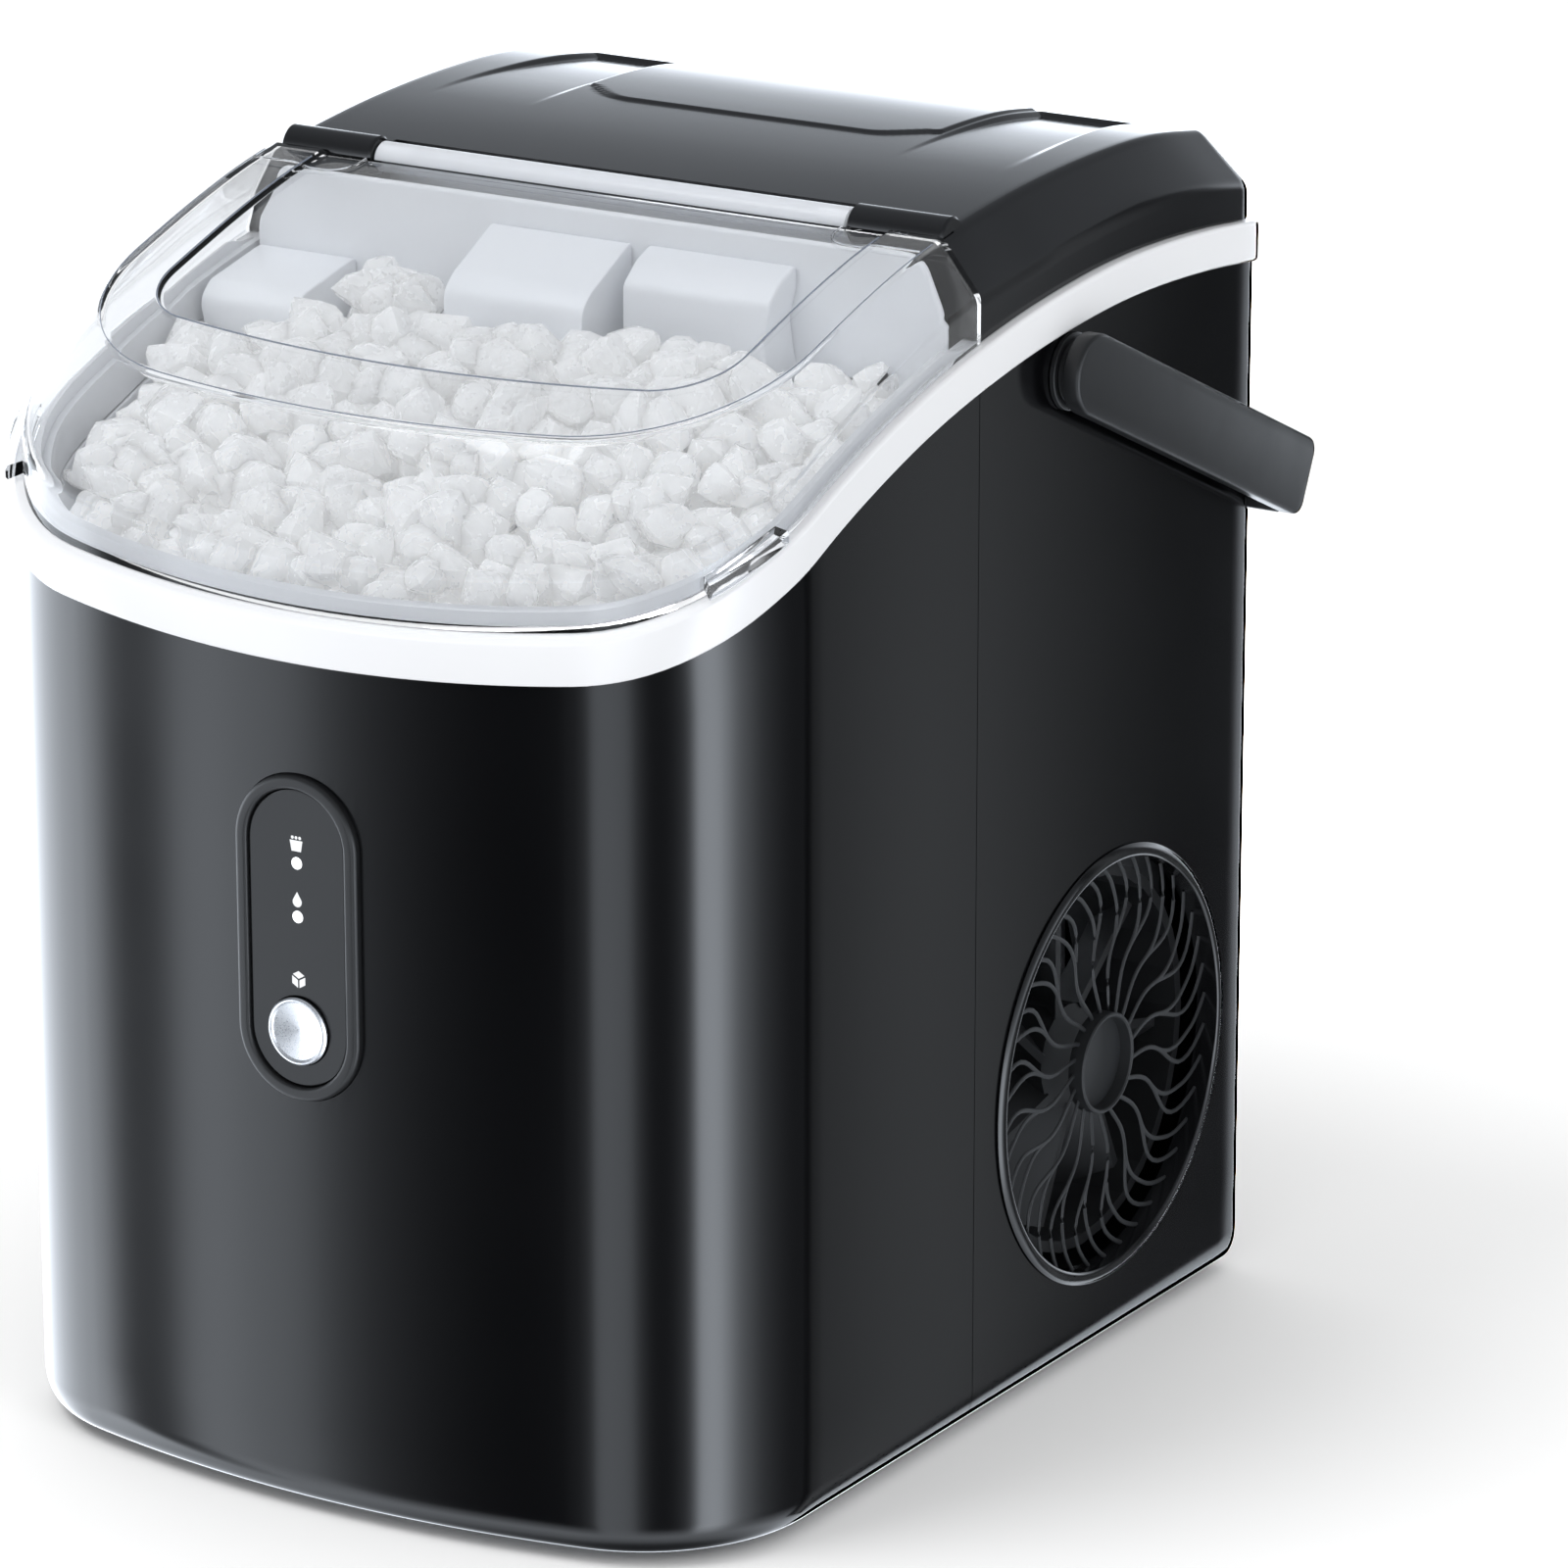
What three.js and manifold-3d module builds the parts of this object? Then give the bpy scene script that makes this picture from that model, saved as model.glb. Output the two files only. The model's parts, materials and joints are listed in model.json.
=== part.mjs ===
// A countertop nugget ice maker, in millimetres, +Z up, with its front towards -Y.
// While it is built, x = 0 is the plane of symmetry, y = 0 the middle of the front face and
// z = 0 the lower edge of the cabinet. The last lines put the origin under the middle of its box.
import * as THREE from "three";
import { mergeVertices } from "three/addons/utils/BufferGeometryUtils.js";
import Module from "manifold-3d";

const wasm = await Module();
wasm.setup();

// ---- Driving dimensions ----

// Cabinet plan: a bowed front, round front corners, straight sides and small rear corners.
const WIDTH = 226;
const DEPTH = 280;
const FRONT_BOW = 329;
const FRONT_CORNER = 49;
const REAR_CORNER = 8;
const HALF = WIDTH / 2;
const SEAM_Y = 134.6; // joint between the front wrap and the rear shell
const STEEL = 1.5; // cabinet wall
const GAP = 0.3; // running and assembly gap
const FOOT_HEIGHT = 3;

// White trim band: a sweeping S line that rises from the front to the rear of the cabinet.
const BAND = 10.6; // its height, square to the line
const BAND_PROUD = 1.5;
const BAND_DEPTH = 8.5; // how far it reaches inside the cabinet outline
const TRIM_LOW = smoothLine([
  [-4, 219],
  [12, 226],
  [26, 233.5],
  [45, 244],
  [75, 257.2],
  [112, 269.2],
  [150, 277.1],
  [186, 281.5],
  [215, 282.8],
  [250, 281.4],
  [284, 277.8],
]);
const TRIM_TOP = (y) => TRIM_LOW(y) + BAND * Math.hypot(1, TRIM_LOW(y + 0.5) - TRIM_LOW(y - 0.5));

// Clear lid and its hinge.
const LID_REAR = 136.5;
const LID_WALL = 2.4;
const LID_INSET = 1;
const LID_SHOULDER = smoothLine([
  [-2, 244.5],
  [20, 255],
  [50, 269.2],
  [80, 281.9],
  [110, 292],
  [140, 298.6],
]);
const LID_TOP = smoothLine([
  [18, 276.8],
  [40, 283.6],
  [60, 290.2],
  [80, 296.8],
  [100, 303],
  [120, 308.2],
  [140, 312],
]);
const LID_RIDGE = { front: 21.7, halfWidth: 101, bow: 375, corner: 50, rear: LID_REAR };
const LID_STEP = { front: 44.5, halfWidth: 85.7, bow: 437, corner: 20, rear: LID_REAR };
const LID_STEP_DEPTH = 1.2;
const HINGE_Y = 143;
const HINGE_Z = 309.5;
const BARREL_RADIUS = 4.4;
const BARREL_HALF = 71.7;
const LUG_RADIUS = 5.6;
const LUG_OUTER = 100;
const PIN_RADIUS = 2;

// Black hood over the machinery.
const HOOD_FRONT = 137.3;
const HOOD_HALF = 111.5;
const HOOD_REAR = 278.5;
const HOOD_WALL = 2.2;
const HOOD_LOW_RIDGE = smoothLine([
  [130, 295.5],
  [156, 297.8],
  [176, 300.5],
  [201, 302.5],
  [227, 303.2],
  [253, 302],
  [280, 298],
]);
const HOOD_TOP_HALF = 100;
const HOOD_TOP_REAR = 270.5;
const HOOD_TOP = smoothLine([
  [130, 310.4],
  [150, 313.6],
  [182, 316.8],
  [216, 318.1],
  [245, 317.2],
  [275, 312.9],
]);

// Control panel on the front.
const PANEL_Z = 150;
const BEZEL_HALF_WIDTH = 18;
const BEZEL_HALF_HEIGHT = 42;
const BEZEL_RIM = 3.5;
const BEZEL_PROUD = 2;
const LED_RADIUS = 1.55;
const LED_HEIGHTS = { full: 169.4, water: 155.6 };
const BUTTON_Z = 126.2;
const BUTTON_RADIUS = 8.75;
const BUTTON_TRAVEL = 1.5;

// Air grille on the right side, with the fan behind it.
const GRILLE_Y = 204.7;
const GRILLE_Z = 77.3;
const GRILLE_RADIUS = 58.9;
const GRILLE_RIM = 4;
const GRILLE_HUB = 13.5;
const GRILLE_SPOKES = 20;

// Carrying handle, folded down behind the cabinet.
const PIVOT_Y = 178.5;
const PIVOT_Z = 270;
const ARM_REST = THREE.MathUtils.degToRad(-25);
const ARM_REACH = 125; // pivot to the far face of the bar
const ARM_HALF_WIDTH = 10.5;
const ARM_INNER = 116.6;
const ARM_OUTER = 122;
const BAR_THICKNESS = 6;
const BOSS_RADIUS = 10;
const SPIGOT_RADIUS = 5;

// Bin and basket.
const BIN_REAR = 134;
const BIN_FLOOR = 98;
const BIN_STEP = 203; // below this the bin is narrower and leaves room for the control board
const BIN_WALL = 2;

// Auger drive.
const AUGER_X = -8;
const AUGER_Y = 166;
const GEAR_MODULE = 1.6;
const GEAR_TEETH = 30;
const PINION_TEETH = 10;
const PINION_X = AUGER_X + (GEAR_MODULE * (GEAR_TEETH + PINION_TEETH)) / 2;
const SHELF_Z = 96.5;
const HOSE_X = -46; // where the water hose passes up through the shelf
const HOSE_Y = 150;

// ---- Materials ----

const finish = (color, roughness, metalness = 0, opacity = 1) =>
  new THREE.MeshStandardMaterial({ color, roughness, metalness, opacity, transparent: opacity < 1 });
const GLOSS_BLACK = finish(0x0c0d10, 0.16, 0.2);
const HOOD_BLACK = finish(0x17181b, 0.22);
const SATIN_BLACK = finish(0x1c1d1f, 0.5);
const RUBBER_BLACK = finish(0x141414, 0.85);
const WHITE = finish(0xf3f4f5, 0.22);
const CLEAR = finish(0xdfe8f2, 0.05, 0, 0.3);
const LIGHT = finish(0xffffff, 0.4);
const SILVER = finish(0xc9cacc, 0.3, 1);
const STAINLESS = finish(0xb4b6b8, 0.35, 1);
const COPPER = finish(0xb4683c, 0.35, 1);
const MILKY = finish(0xe4e6e4, 0.45);
const BOARD_GREEN = finish(0x1c5a34, 0.55);

// ---- Curves and outlines ----

// A height as a function of y: a smooth line through the given [y, z] points.
function smoothLine(points) {
  const slope = (i) => {
    const before = points[Math.max(i - 1, 0)];
    const after = points[Math.min(i + 1, points.length - 1)];
    return (after[1] - before[1]) / (after[0] - before[0]);
  };
  return (y) => {
    const last = points.length - 2;
    const found = points.findIndex((point, i) => i <= last && y <= points[i + 1][0]);
    const i = found < 0 ? last : found;
    const [y0, z0] = points[i];
    const [y1, z1] = points[i + 1];
    const span = y1 - y0;
    const t = THREE.MathUtils.clamp((y - y0) / span, 0, 1);
    const hermite =
      z0 * (2 * t ** 3 - 3 * t ** 2 + 1) +
      slope(i) * span * (t ** 3 - 2 * t ** 2 + t) +
      z1 * (3 * t ** 2 - 2 * t ** 3) +
      slope(i + 1) * span * (t ** 3 - t ** 2);
    return hermite;
  };
}

// Evenly spaced values from a to b, both included.
function steps(a, b, count) {
  return Array.from({ length: count + 1 }, (_, i) => a + ((b - a) * i) / count);
}

// The right half of a plan outline, as [x, y] points from the middle of the front round to the rear:
// a bowed front, a round front corner, a straight side and a rear corner.
function halfOutline({ front, halfWidth, bow, corner, rear, rearCorner = 0.5 }) {
  const cornerX = halfWidth - corner;
  const cornerY = front + bow - Math.sqrt((bow - corner) ** 2 - cornerX ** 2);
  const meet = Math.asin(cornerX / (bow - corner));
  const sideEnd = rear - rearCorner;
  const bowPoints = steps(0, meet, 3).map((t) => [
    bow * Math.sin(t),
    front + bow - bow * Math.cos(t),
  ]);
  const cornerPoints = steps(meet, Math.PI / 2, 6).map((t) => [
    cornerX + corner * Math.sin(t),
    cornerY - corner * Math.cos(t),
  ]);
  const sidePoints = steps(cornerY, sideEnd, 6).map((y) => [halfWidth, y]);
  const rearPoints = steps(0, Math.PI / 2, 2).map((t) => [
    halfWidth - rearCorner + rearCorner * Math.cos(t),
    sideEnd + rearCorner * Math.sin(t),
  ]);
  return [...bowPoints, ...cornerPoints.slice(1), ...sidePoints.slice(1), ...rearPoints.slice(1)];
}

// The cabinet's own outline moved inwards by a wall or a gap, or outwards when inset is negative.
function cabinetOutline(inset, changes = {}) {
  return halfOutline({
    front: inset,
    halfWidth: HALF - inset,
    bow: FRONT_BOW - inset,
    corner: FRONT_CORNER - inset,
    rear: DEPTH - inset,
    rearCorner: Math.max(REAR_CORNER - inset, 1),
    ...changes,
  });
}

// A straight-fronted outline, for the hood.
function boxOutline(halfWidth, front, rear, corner) {
  const sidePoints = steps(front, rear - corner, 6).map((y) => [halfWidth, y]);
  const rearPoints = steps(0, Math.PI / 2, 2).map((t) => [
    halfWidth - corner + corner * Math.cos(t),
    rear - corner + corner * Math.sin(t),
  ]);
  return [[0, front], ...sidePoints, ...rearPoints.slice(1)];
}

// Lifts a plan outline to a height, which may change with y.
const row = (outline, z) => outline.map(([x, y]) => [x, y, typeof z === "function" ? z(y) : z]);

function rectangle(u0, u1, v0, v1, radius = 0) {
  const shape = new THREE.Shape();
  shape.moveTo(u0 + radius, v0);
  shape.lineTo(u1 - radius, v0);
  if (radius) shape.absarc(u1 - radius, v0 + radius, radius, -Math.PI / 2, 0);
  shape.lineTo(u1, v1 - radius);
  if (radius) shape.absarc(u1 - radius, v1 - radius, radius, 0, Math.PI / 2);
  shape.lineTo(u0 + radius, v1);
  if (radius) shape.absarc(u0 + radius, v1 - radius, radius, Math.PI / 2, Math.PI);
  shape.lineTo(u0, v0 + radius);
  if (radius) shape.absarc(u0 + radius, v0 + radius, radius, Math.PI, 1.5 * Math.PI);
  return shape;
}

// A slot with round ends, upright when it is taller than wide.
function slotShape(u, v, halfWidth, halfHeight) {
  const round = Math.min(halfWidth, halfHeight);
  return rectangle(u - halfWidth, u + halfWidth, v - halfHeight, v + halfHeight, round);
}

function polygon(points) {
  return new THREE.Shape(points.map(([u, v]) => new THREE.Vector2(u, v)));
}

// ---- Solids ----

// A three.js geometry as a solid that can be cut and joined.
function solid(geometry) {
  const source = geometry.index ? geometry.toNonIndexed() : geometry;
  const bare = new THREE.BufferGeometry();
  bare.setAttribute("position", source.getAttribute("position"));
  const merged = mergeVertices(bare, 1e-4);
  const triVerts = new Uint32Array(merged.index.array);
  const vertProperties = merged.attributes.position.array;
  return new wasm.Manifold(new wasm.Mesh({ numProp: 3, vertProperties, triVerts }));
}

const join = (first, ...others) => others.reduce((whole, piece) => whole.add(piece), first);
const cut = (first, ...others) => others.reduce((whole, piece) => whole.subtract(piece), first);
const both = (sign, make) => sign.map((side) => make(side));

// A closed solid, the same on both sides of x = 0, through stacked rows of points.
// Each row runs from the middle of the front to the rear of the right side.
// The first and last rows are closed by strips that run straight across.
function loft(rows) {
  const points = [];
  const mirror = ([x, y, z]) => [-x, y, z];
  const same = (p, q) => p.every((value, i) => Math.abs(value - q[i]) < 1e-6);
  const triangle = (a, b, c) => {
    if (!same(a, b) && !same(b, c) && !same(a, c)) points.push(...a, ...b, ...c);
  };
  const quad = (a, b, c, d) => {
    triangle(a, b, c);
    triangle(a, c, d);
  };
  const last = rows[0].length - 1;
  rows.slice(0, -1).forEach((low, r) => {
    const high = rows[r + 1];
    for (let i = 0; i < last; i++) {
      quad(low[i], low[i + 1], high[i + 1], high[i]);
      quad(mirror(low[i + 1]), mirror(low[i]), mirror(high[i]), mirror(high[i + 1]));
    }
    quad(low[last], mirror(low[last]), mirror(high[last]), high[last]);
  });
  const bottom = rows[0];
  const top = rows[rows.length - 1];
  for (let i = 0; i < last; i++) {
    quad(top[i], top[i + 1], mirror(top[i + 1]), mirror(top[i]));
    quad(mirror(bottom[i]), mirror(bottom[i + 1]), bottom[i + 1], bottom[i]);
  }
  const geometry = new THREE.BufferGeometry();
  geometry.setAttribute("position", new THREE.Float32BufferAttribute(points, 3));
  return solid(geometry);
}

function box(x0, x1, y0, y1, z0, z1) {
  const geometry = new THREE.BoxGeometry(x1 - x0, y1 - y0, z1 - z0);
  return solid(geometry.translate((x0 + x1) / 2, (y0 + y1) / 2, (z0 + z1) / 2));
}

// Extrusions of a flat shape: (x, y) drawn along Z, (x, z) along Y, and (y, z) along X.
function extrude(shape, depth, curveSegments) {
  return new THREE.ExtrudeGeometry(shape, { depth, bevelEnabled: false, curveSegments });
}

function alongZ(shape, z0, z1, curveSegments = 6) {
  return solid(extrude(shape, z1 - z0, curveSegments).translate(0, 0, z0));
}

function alongY(shape, y0, y1, curveSegments = 6) {
  return solid(extrude(shape, y1 - y0, curveSegments).rotateX(Math.PI / 2).translate(0, y1, 0));
}

function alongX(shape, x0, x1, curveSegments = 6) {
  const turn = new THREE.Matrix4().makeBasis(
    new THREE.Vector3(0, 1, 0),
    new THREE.Vector3(0, 0, 1),
    new THREE.Vector3(1, 0, 0),
  );
  return solid(extrude(shape, x1 - x0, curveSegments).applyMatrix4(turn).translate(x0, 0, 0));
}

// Everything between two height lines, for y0 to y1, right across the machine.
function between(low, high, y0, y1, halfWidth = 130) {
  const ys = steps(y0, y1, 16);
  const lower = ys.map((y) => [y, low(y)]);
  const upper = ys.map((y) => [y, high(y)]).reverse();
  return alongX(polygon([...lower, ...upper]), -halfWidth, halfWidth);
}

// A round rod along one axis, with its centre line at the two other coordinates in x, y, z order.
function rod(axis, radius, from, to, u, v, segments = 20) {
  const geometry = new THREE.CylinderGeometry(radius, radius, to - from, segments);
  const middle = (from + to) / 2;
  if (axis === "x") return solid(geometry.rotateZ(-Math.PI / 2).translate(middle, u, v));
  if (axis === "y") return solid(geometry.translate(u, middle, v));
  return solid(geometry.rotateX(Math.PI / 2).translate(u, v, middle));
}

// A solid of revolution about an upright axis, from [radius, z] points.
function turned(profile, x, y, segments = 24) {
  const points = profile.map(([radius, z]) => new THREE.Vector2(radius, z));
  return solid(new THREE.LatheGeometry(points, segments).rotateX(Math.PI / 2).translate(x, y, 0));
}

// A bent tube or rod through the given points.
function tube(points, radius, count = 14) {
  const path = new THREE.CatmullRomCurve3(points.map((point) => new THREE.Vector3(...point)));
  const section = new THREE.Shape();
  section.absarc(0, 0, radius, 0, 2 * Math.PI);
  const options = { steps: count, bevelEnabled: false, extrudePath: path, curveSegments: 4 };
  return solid(new THREE.ExtrudeGeometry(section, options));
}

const machine = new THREE.Group();

function add(name, body, material) {
  const { vertProperties, triVerts } = body.getMesh();
  const geometry = new THREE.BufferGeometry();
  geometry.setAttribute("position", new THREE.BufferAttribute(vertProperties, 3));
  geometry.setIndex(new THREE.BufferAttribute(triVerts, 1));
  geometry.computeVertexNormals();
  const mesh = new THREE.Mesh(geometry, material);
  mesh.name = name;
  machine.add(mesh);
}

const SIDES = { left: -1, right: 1 };

// ---- Cabinet ----

// The steel skin: rolled in at the bottom, cut along the trim line at the top.
function cabinetSkin() {
  const top = (y) => TRIM_LOW(y) - GAP;
  const outside = loft([
    row(cabinetOutline(4.6), 0.3),
    row(cabinetOutline(1.9), 2.2),
    row(cabinetOutline(0.5), 5.2),
    row(cabinetOutline(0), 9),
    row(cabinetOutline(0), top),
  ]);
  const inside = loft([
    row(cabinetOutline(6.4), -0.5),
    row(cabinetOutline(3.3), 3.4),
    row(cabinetOutline(STEEL), 9.5),
    row(cabinetOutline(STEEL), (y) => top(y) + 5),
  ]);
  return cut(outside, inside);
}

function frontWrap(skin) {
  const front = box(-HALF - 5, HALF + 5, -10, SEAM_Y - GAP / 2, -5, 320);
  const window = slotShape(0, PANEL_Z, BEZEL_HALF_WIDTH + GAP, BEZEL_HALF_HEIGHT + GAP);
  return cut(skin.intersect(front), alongY(window, -5, 10, 5));
}

const VENT_SLOTS = 8;
const VENT_PITCH = 12;
const DRAIN_X = -85;
const DRAIN_Z = 28;
const CORD_X = 62;
const CORD_Z = 28;
const SCREW_SPOTS = { left: [-98, 150], right: [98, 150] };

function rearShell(skin) {
  const rear = box(-HALF - 5, HALF + 5, SEAM_Y + GAP / 2, DEPTH + 10, -5, 320);
  const grilleHole = rod("x", GRILLE_RADIUS - 1, 100, 120, GRILLE_Y, GRILLE_Z, 36);
  const pivotHole = rod("x", SPIGOT_RADIUS + GAP, -120, 120, PIVOT_Y, PIVOT_Z, 20);
  const slots = steps(0, VENT_SLOTS - 1, VENT_SLOTS - 1);
  const sideVents = slots.map((i) => {
    const y = GRILLE_Y + (i - (VENT_SLOTS - 1) / 2) * VENT_PITCH;
    return box(-120, -100, y - 2.5, y + 2.5, GRILLE_Z - 34, GRILLE_Z + 34);
  });
  const rearVents = slots.map((i) => {
    const z = 60 + i * VENT_PITCH;
    return box(-52, 52, DEPTH - 5, DEPTH + 5, z - 2.5, z + 2.5);
  });
  const drainHole = rod("y", 7.3, DEPTH - 5, DEPTH + 5, DRAIN_X, DRAIN_Z);
  const cordHole = rod("y", 7.3, DEPTH - 5, DEPTH + 5, CORD_X, CORD_Z);
  const screwHole = ([x, z]) => rod("y", 2.3, DEPTH - 5, DEPTH + 5, x, z, 12);
  const screwHoles = Object.values(SCREW_SPOTS).map(screwHole);
  const holes = [grilleHole, pivotHole, drainHole, cordHole];
  return cut(skin.intersect(rear), ...holes, ...sideVents, ...rearVents, ...screwHoles);
}

function baseTray() {
  const outside = loft([
    row(cabinetOutline(7), 0.3),
    row(cabinetOutline(3.8), 4),
    row(cabinetOutline(2.1), 10),
    row(cabinetOutline(2.1), 16),
  ]);
  const inside = loft([row(cabinetOutline(6.5), 4), row(cabinetOutline(4.3), 17)]);
  return cut(outside, inside);
}

const FOOT_SPOTS = [
  [-76, 36],
  [76, 36],
  [-88, 252],
  [88, 252],
];
const FOOT_NAMES = ["front_left", "front_right", "rear_left", "rear_right"];

// A rubber foot, bonded under the tray.
function foot([x, y]) {
  const profile = [
    [0, -FOOT_HEIGHT],
    [8, -FOOT_HEIGHT],
    [9, -FOOT_HEIGHT + 1],
    [9, 0],
    [0, 0],
  ];
  return turned(profile, x, y, 18);
}

function trimBand() {
  const edge = 0.9;
  const outside = loft([
    row(cabinetOutline(-BAND_PROUD + edge), TRIM_LOW),
    row(cabinetOutline(-BAND_PROUD), (y) => TRIM_LOW(y) + edge),
    row(cabinetOutline(-BAND_PROUD), (y) => TRIM_TOP(y) - edge),
    row(cabinetOutline(-BAND_PROUD + edge), TRIM_TOP),
  ]);
  const inside = loft([
    row(cabinetOutline(BAND_DEPTH), (y) => TRIM_LOW(y) - 5),
    row(cabinetOutline(BAND_DEPTH), (y) => TRIM_TOP(y) + 5),
  ]);
  return join(cut(outside, inside), trimLip(), trimCollar());
}

// The lip below the band that locates it inside the cabinet skin.
function trimLip() {
  const low = (y) => TRIM_LOW(y) - 3.5;
  const high = (y) => TRIM_LOW(y) + 1;
  const outside = loft([row(cabinetOutline(STEEL + 0.5), low), row(cabinetOutline(STEEL + 0.5), high)]);
  const inside = loft([
    row(cabinetOutline(STEEL + 1.9), (y) => low(y) - 1),
    row(cabinetOutline(STEEL + 1.9), (y) => high(y) + 1),
  ]);
  return cut(outside, inside);
}

// The collar round the mouth of the bin that the lid drops over.
function trimCollar() {
  const low = (y) => TRIM_TOP(y) - 1;
  const high = (y) => TRIM_TOP(y) + 3.4;
  const outside = loft([row(cabinetOutline(4.4), low), row(cabinetOutline(4.9), high)]);
  const inside = loft([
    row(cabinetOutline(6.4), (y) => low(y) - 1),
    row(cabinetOutline(6.4), (y) => high(y) + 1),
  ]);
  return cut(outside, inside).intersect(box(-HALF, HALF, -10, 130, 200, 330));
}

// ---- Hood ----

function hood() {
  const low = (y) => TRIM_TOP(y) + GAP;
  const outside = loft([
    row(boxOutline(HOOD_HALF, HOOD_FRONT, HOOD_REAR, 7), low),
    row(boxOutline(HOOD_HALF, HOOD_FRONT, HOOD_REAR, 7), HOOD_LOW_RIDGE),
    row(boxOutline(HOOD_TOP_HALF, HOOD_FRONT, HOOD_TOP_REAR, 3), HOOD_TOP),
  ]);
  const innerHalf = HOOD_HALF - HOOD_WALL;
  const innerRear = HOOD_REAR - HOOD_WALL;
  const innerFront = HOOD_FRONT + HOOD_WALL;
  const inside = loft([
    row(boxOutline(innerHalf, innerFront, innerRear, 5), (y) => low(y) - 5),
    row(boxOutline(innerHalf, innerFront, innerRear, 5), (y) => HOOD_LOW_RIDGE(y) - 1.2),
    row(boxOutline(HOOD_TOP_HALF - 1.4, innerFront, HOOD_TOP_REAR - 1.4, 2), (y) => HOOD_TOP(y) - HOOD_WALL),
  ]);
  const troughFloor = 301.6;
  const troughRear = HINGE_Y + LUG_RADIUS + 1.4;
  const barrelTrough = box(-BARREL_HALF - GAP, BARREL_HALF + GAP, 130, troughRear, troughFloor, 330);
  const trough = box(-BARREL_HALF - 3, BARREL_HALF + 3, HOOD_FRONT, troughRear + 2, troughFloor - 2, 312.5);
  const lugCorners = both([-1, 1], (side) => {
    const [inner, outer] = [side * (BARREL_HALF - 1), side * (LUG_OUTER + GAP)];
    return box(Math.min(inner, outer), Math.max(inner, outer), 130, HINGE_Y, HINGE_Z - 5, 330);
  });
  const lugs = both([-1, 1], (side) => {
    const [inner, outer] = [side * (BARREL_HALF + GAP), side * LUG_OUTER];
    return rod("x", LUG_RADIUS, Math.min(inner, outer), Math.max(inner, outer), HINGE_Y, HINGE_Z, 28);
  });
  const shell = cut(outside, inside);
  const body = cut(join(shell, trough), barrelTrough, ...lugCorners);
  const pinBores = rod("x", PIN_RADIUS + 0.05, -96, 96, HINGE_Y, HINGE_Z, 16);
  return cut(join(body, ...lugs), pinBores);
}

function hingePin(side) {
  const [inner, outer] = [side * (BARREL_HALF - 8), side * 95];
  return rod("x", PIN_RADIUS - GAP, Math.min(inner, outer), Math.max(inner, outer), HINGE_Y, HINGE_Z, 16);
}

// ---- Lid ----

function thinner(outline, wall) {
  return {
    front: outline.front + wall,
    halfWidth: outline.halfWidth - wall,
    bow: outline.bow - wall,
    corner: outline.corner - wall,
    rear: LID_REAR + 4,
  };
}

const LID_FOOT = {
  front: LID_INSET,
  halfWidth: HALF - LID_INSET,
  bow: FRONT_BOW - LID_INSET,
  corner: FRONT_CORNER - LID_INSET,
  rear: LID_REAR,
};

function lidDome() {
  const foot = halfOutline(LID_FOOT);
  const step = halfOutline(LID_STEP);
  const sunk = halfOutline({ ...LID_STEP, front: 46, halfWidth: 84.5, corner: 19 });
  const outside = loft([
    row(foot, (y) => TRIM_TOP(y) + 0.4),
    row(foot, LID_SHOULDER),
    row(halfOutline(LID_RIDGE), LID_TOP),
    row(step, LID_TOP),
    row(sunk, (y) => LID_TOP(y) - LID_STEP_DEPTH),
  ]);
  const innerFoot = halfOutline(thinner(LID_FOOT, LID_WALL));
  const inside = loft([
    row(innerFoot, (y) => TRIM_TOP(y) - 4),
    row(innerFoot, (y) => LID_SHOULDER(y) - 1.3),
    row(halfOutline(thinner(LID_RIDGE, 1.3)), (y) => LID_TOP(y) - LID_WALL),
    row(halfOutline(thinner(LID_STEP, -1)), (y) => LID_TOP(y) - LID_WALL),
    row(halfOutline(thinner(LID_STEP, 1)), (y) => LID_TOP(y) - LID_WALL - LID_STEP_DEPTH),
  ]);
  return cut(outside, inside);
}

// A finger tab that follows the foot of the lid round one front corner.
function fingerTab(side) {
  const cornerX = HALF - FRONT_CORNER;
  const cornerY = FRONT_BOW - Math.sqrt((FRONT_BOW - FRONT_CORNER) ** 2 - cornerX ** 2);
  const sector = new THREE.Shape();
  const [start, end] = [THREE.MathUtils.degToRad(-56), THREE.MathUtils.degToRad(-14)];
  sector.absarc(cornerX, cornerY, FRONT_CORNER + 3.4, start, end, false);
  sector.absarc(cornerX, cornerY, FRONT_CORNER - LID_INSET - 1, end, start, true);
  const low = (y) => TRIM_TOP(y) + 1.6;
  const high = (y) => TRIM_TOP(y) + 5.2;
  const right = alongZ(sector, 200, 300, 8).intersect(between(low, high, -5, 60));
  return side > 0 ? right : right.mirror([1, 0, 0]);
}

function lid() {
  const barrel = rod("x", BARREL_RADIUS, -BARREL_HALF, BARREL_HALF, HINGE_Y, HINGE_Z, 24);
  const neckTop = LID_TOP(LID_REAR) - LID_STEP_DEPTH - 0.5;
  const neck = box(-BARREL_HALF, BARREL_HALF, LID_REAR - 1.1, HINGE_Y - 1, neckTop - 2, neckTop);
  const pinBores = both([-1, 1], (side) => {
    const [inner, outer] = [side * (BARREL_HALF - 10), side * (BARREL_HALF + 1)];
    return rod("x", PIN_RADIUS + GAP, Math.min(inner, outer), Math.max(inner, outer), HINGE_Y, HINGE_Z, 16);
  });
  const tabs = both([-1, 1], fingerTab);
  return cut(join(lidDome(), neck, barrel, ...tabs), ...pinBores).simplify(0.02);
}

// ---- Bin, basket and ice outlet ----

const binOutline = (inset, changes) => cabinetOutline(inset, { rear: BIN_REAR, rearCorner: 5, ...changes });
const binLower = (inset) =>
  halfOutline({
    front: 22 + inset,
    halfWidth: 101 - inset,
    bow: 307,
    corner: 42 - inset,
    rear: BIN_REAR - inset,
    rearCorner: 8,
  });

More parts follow.
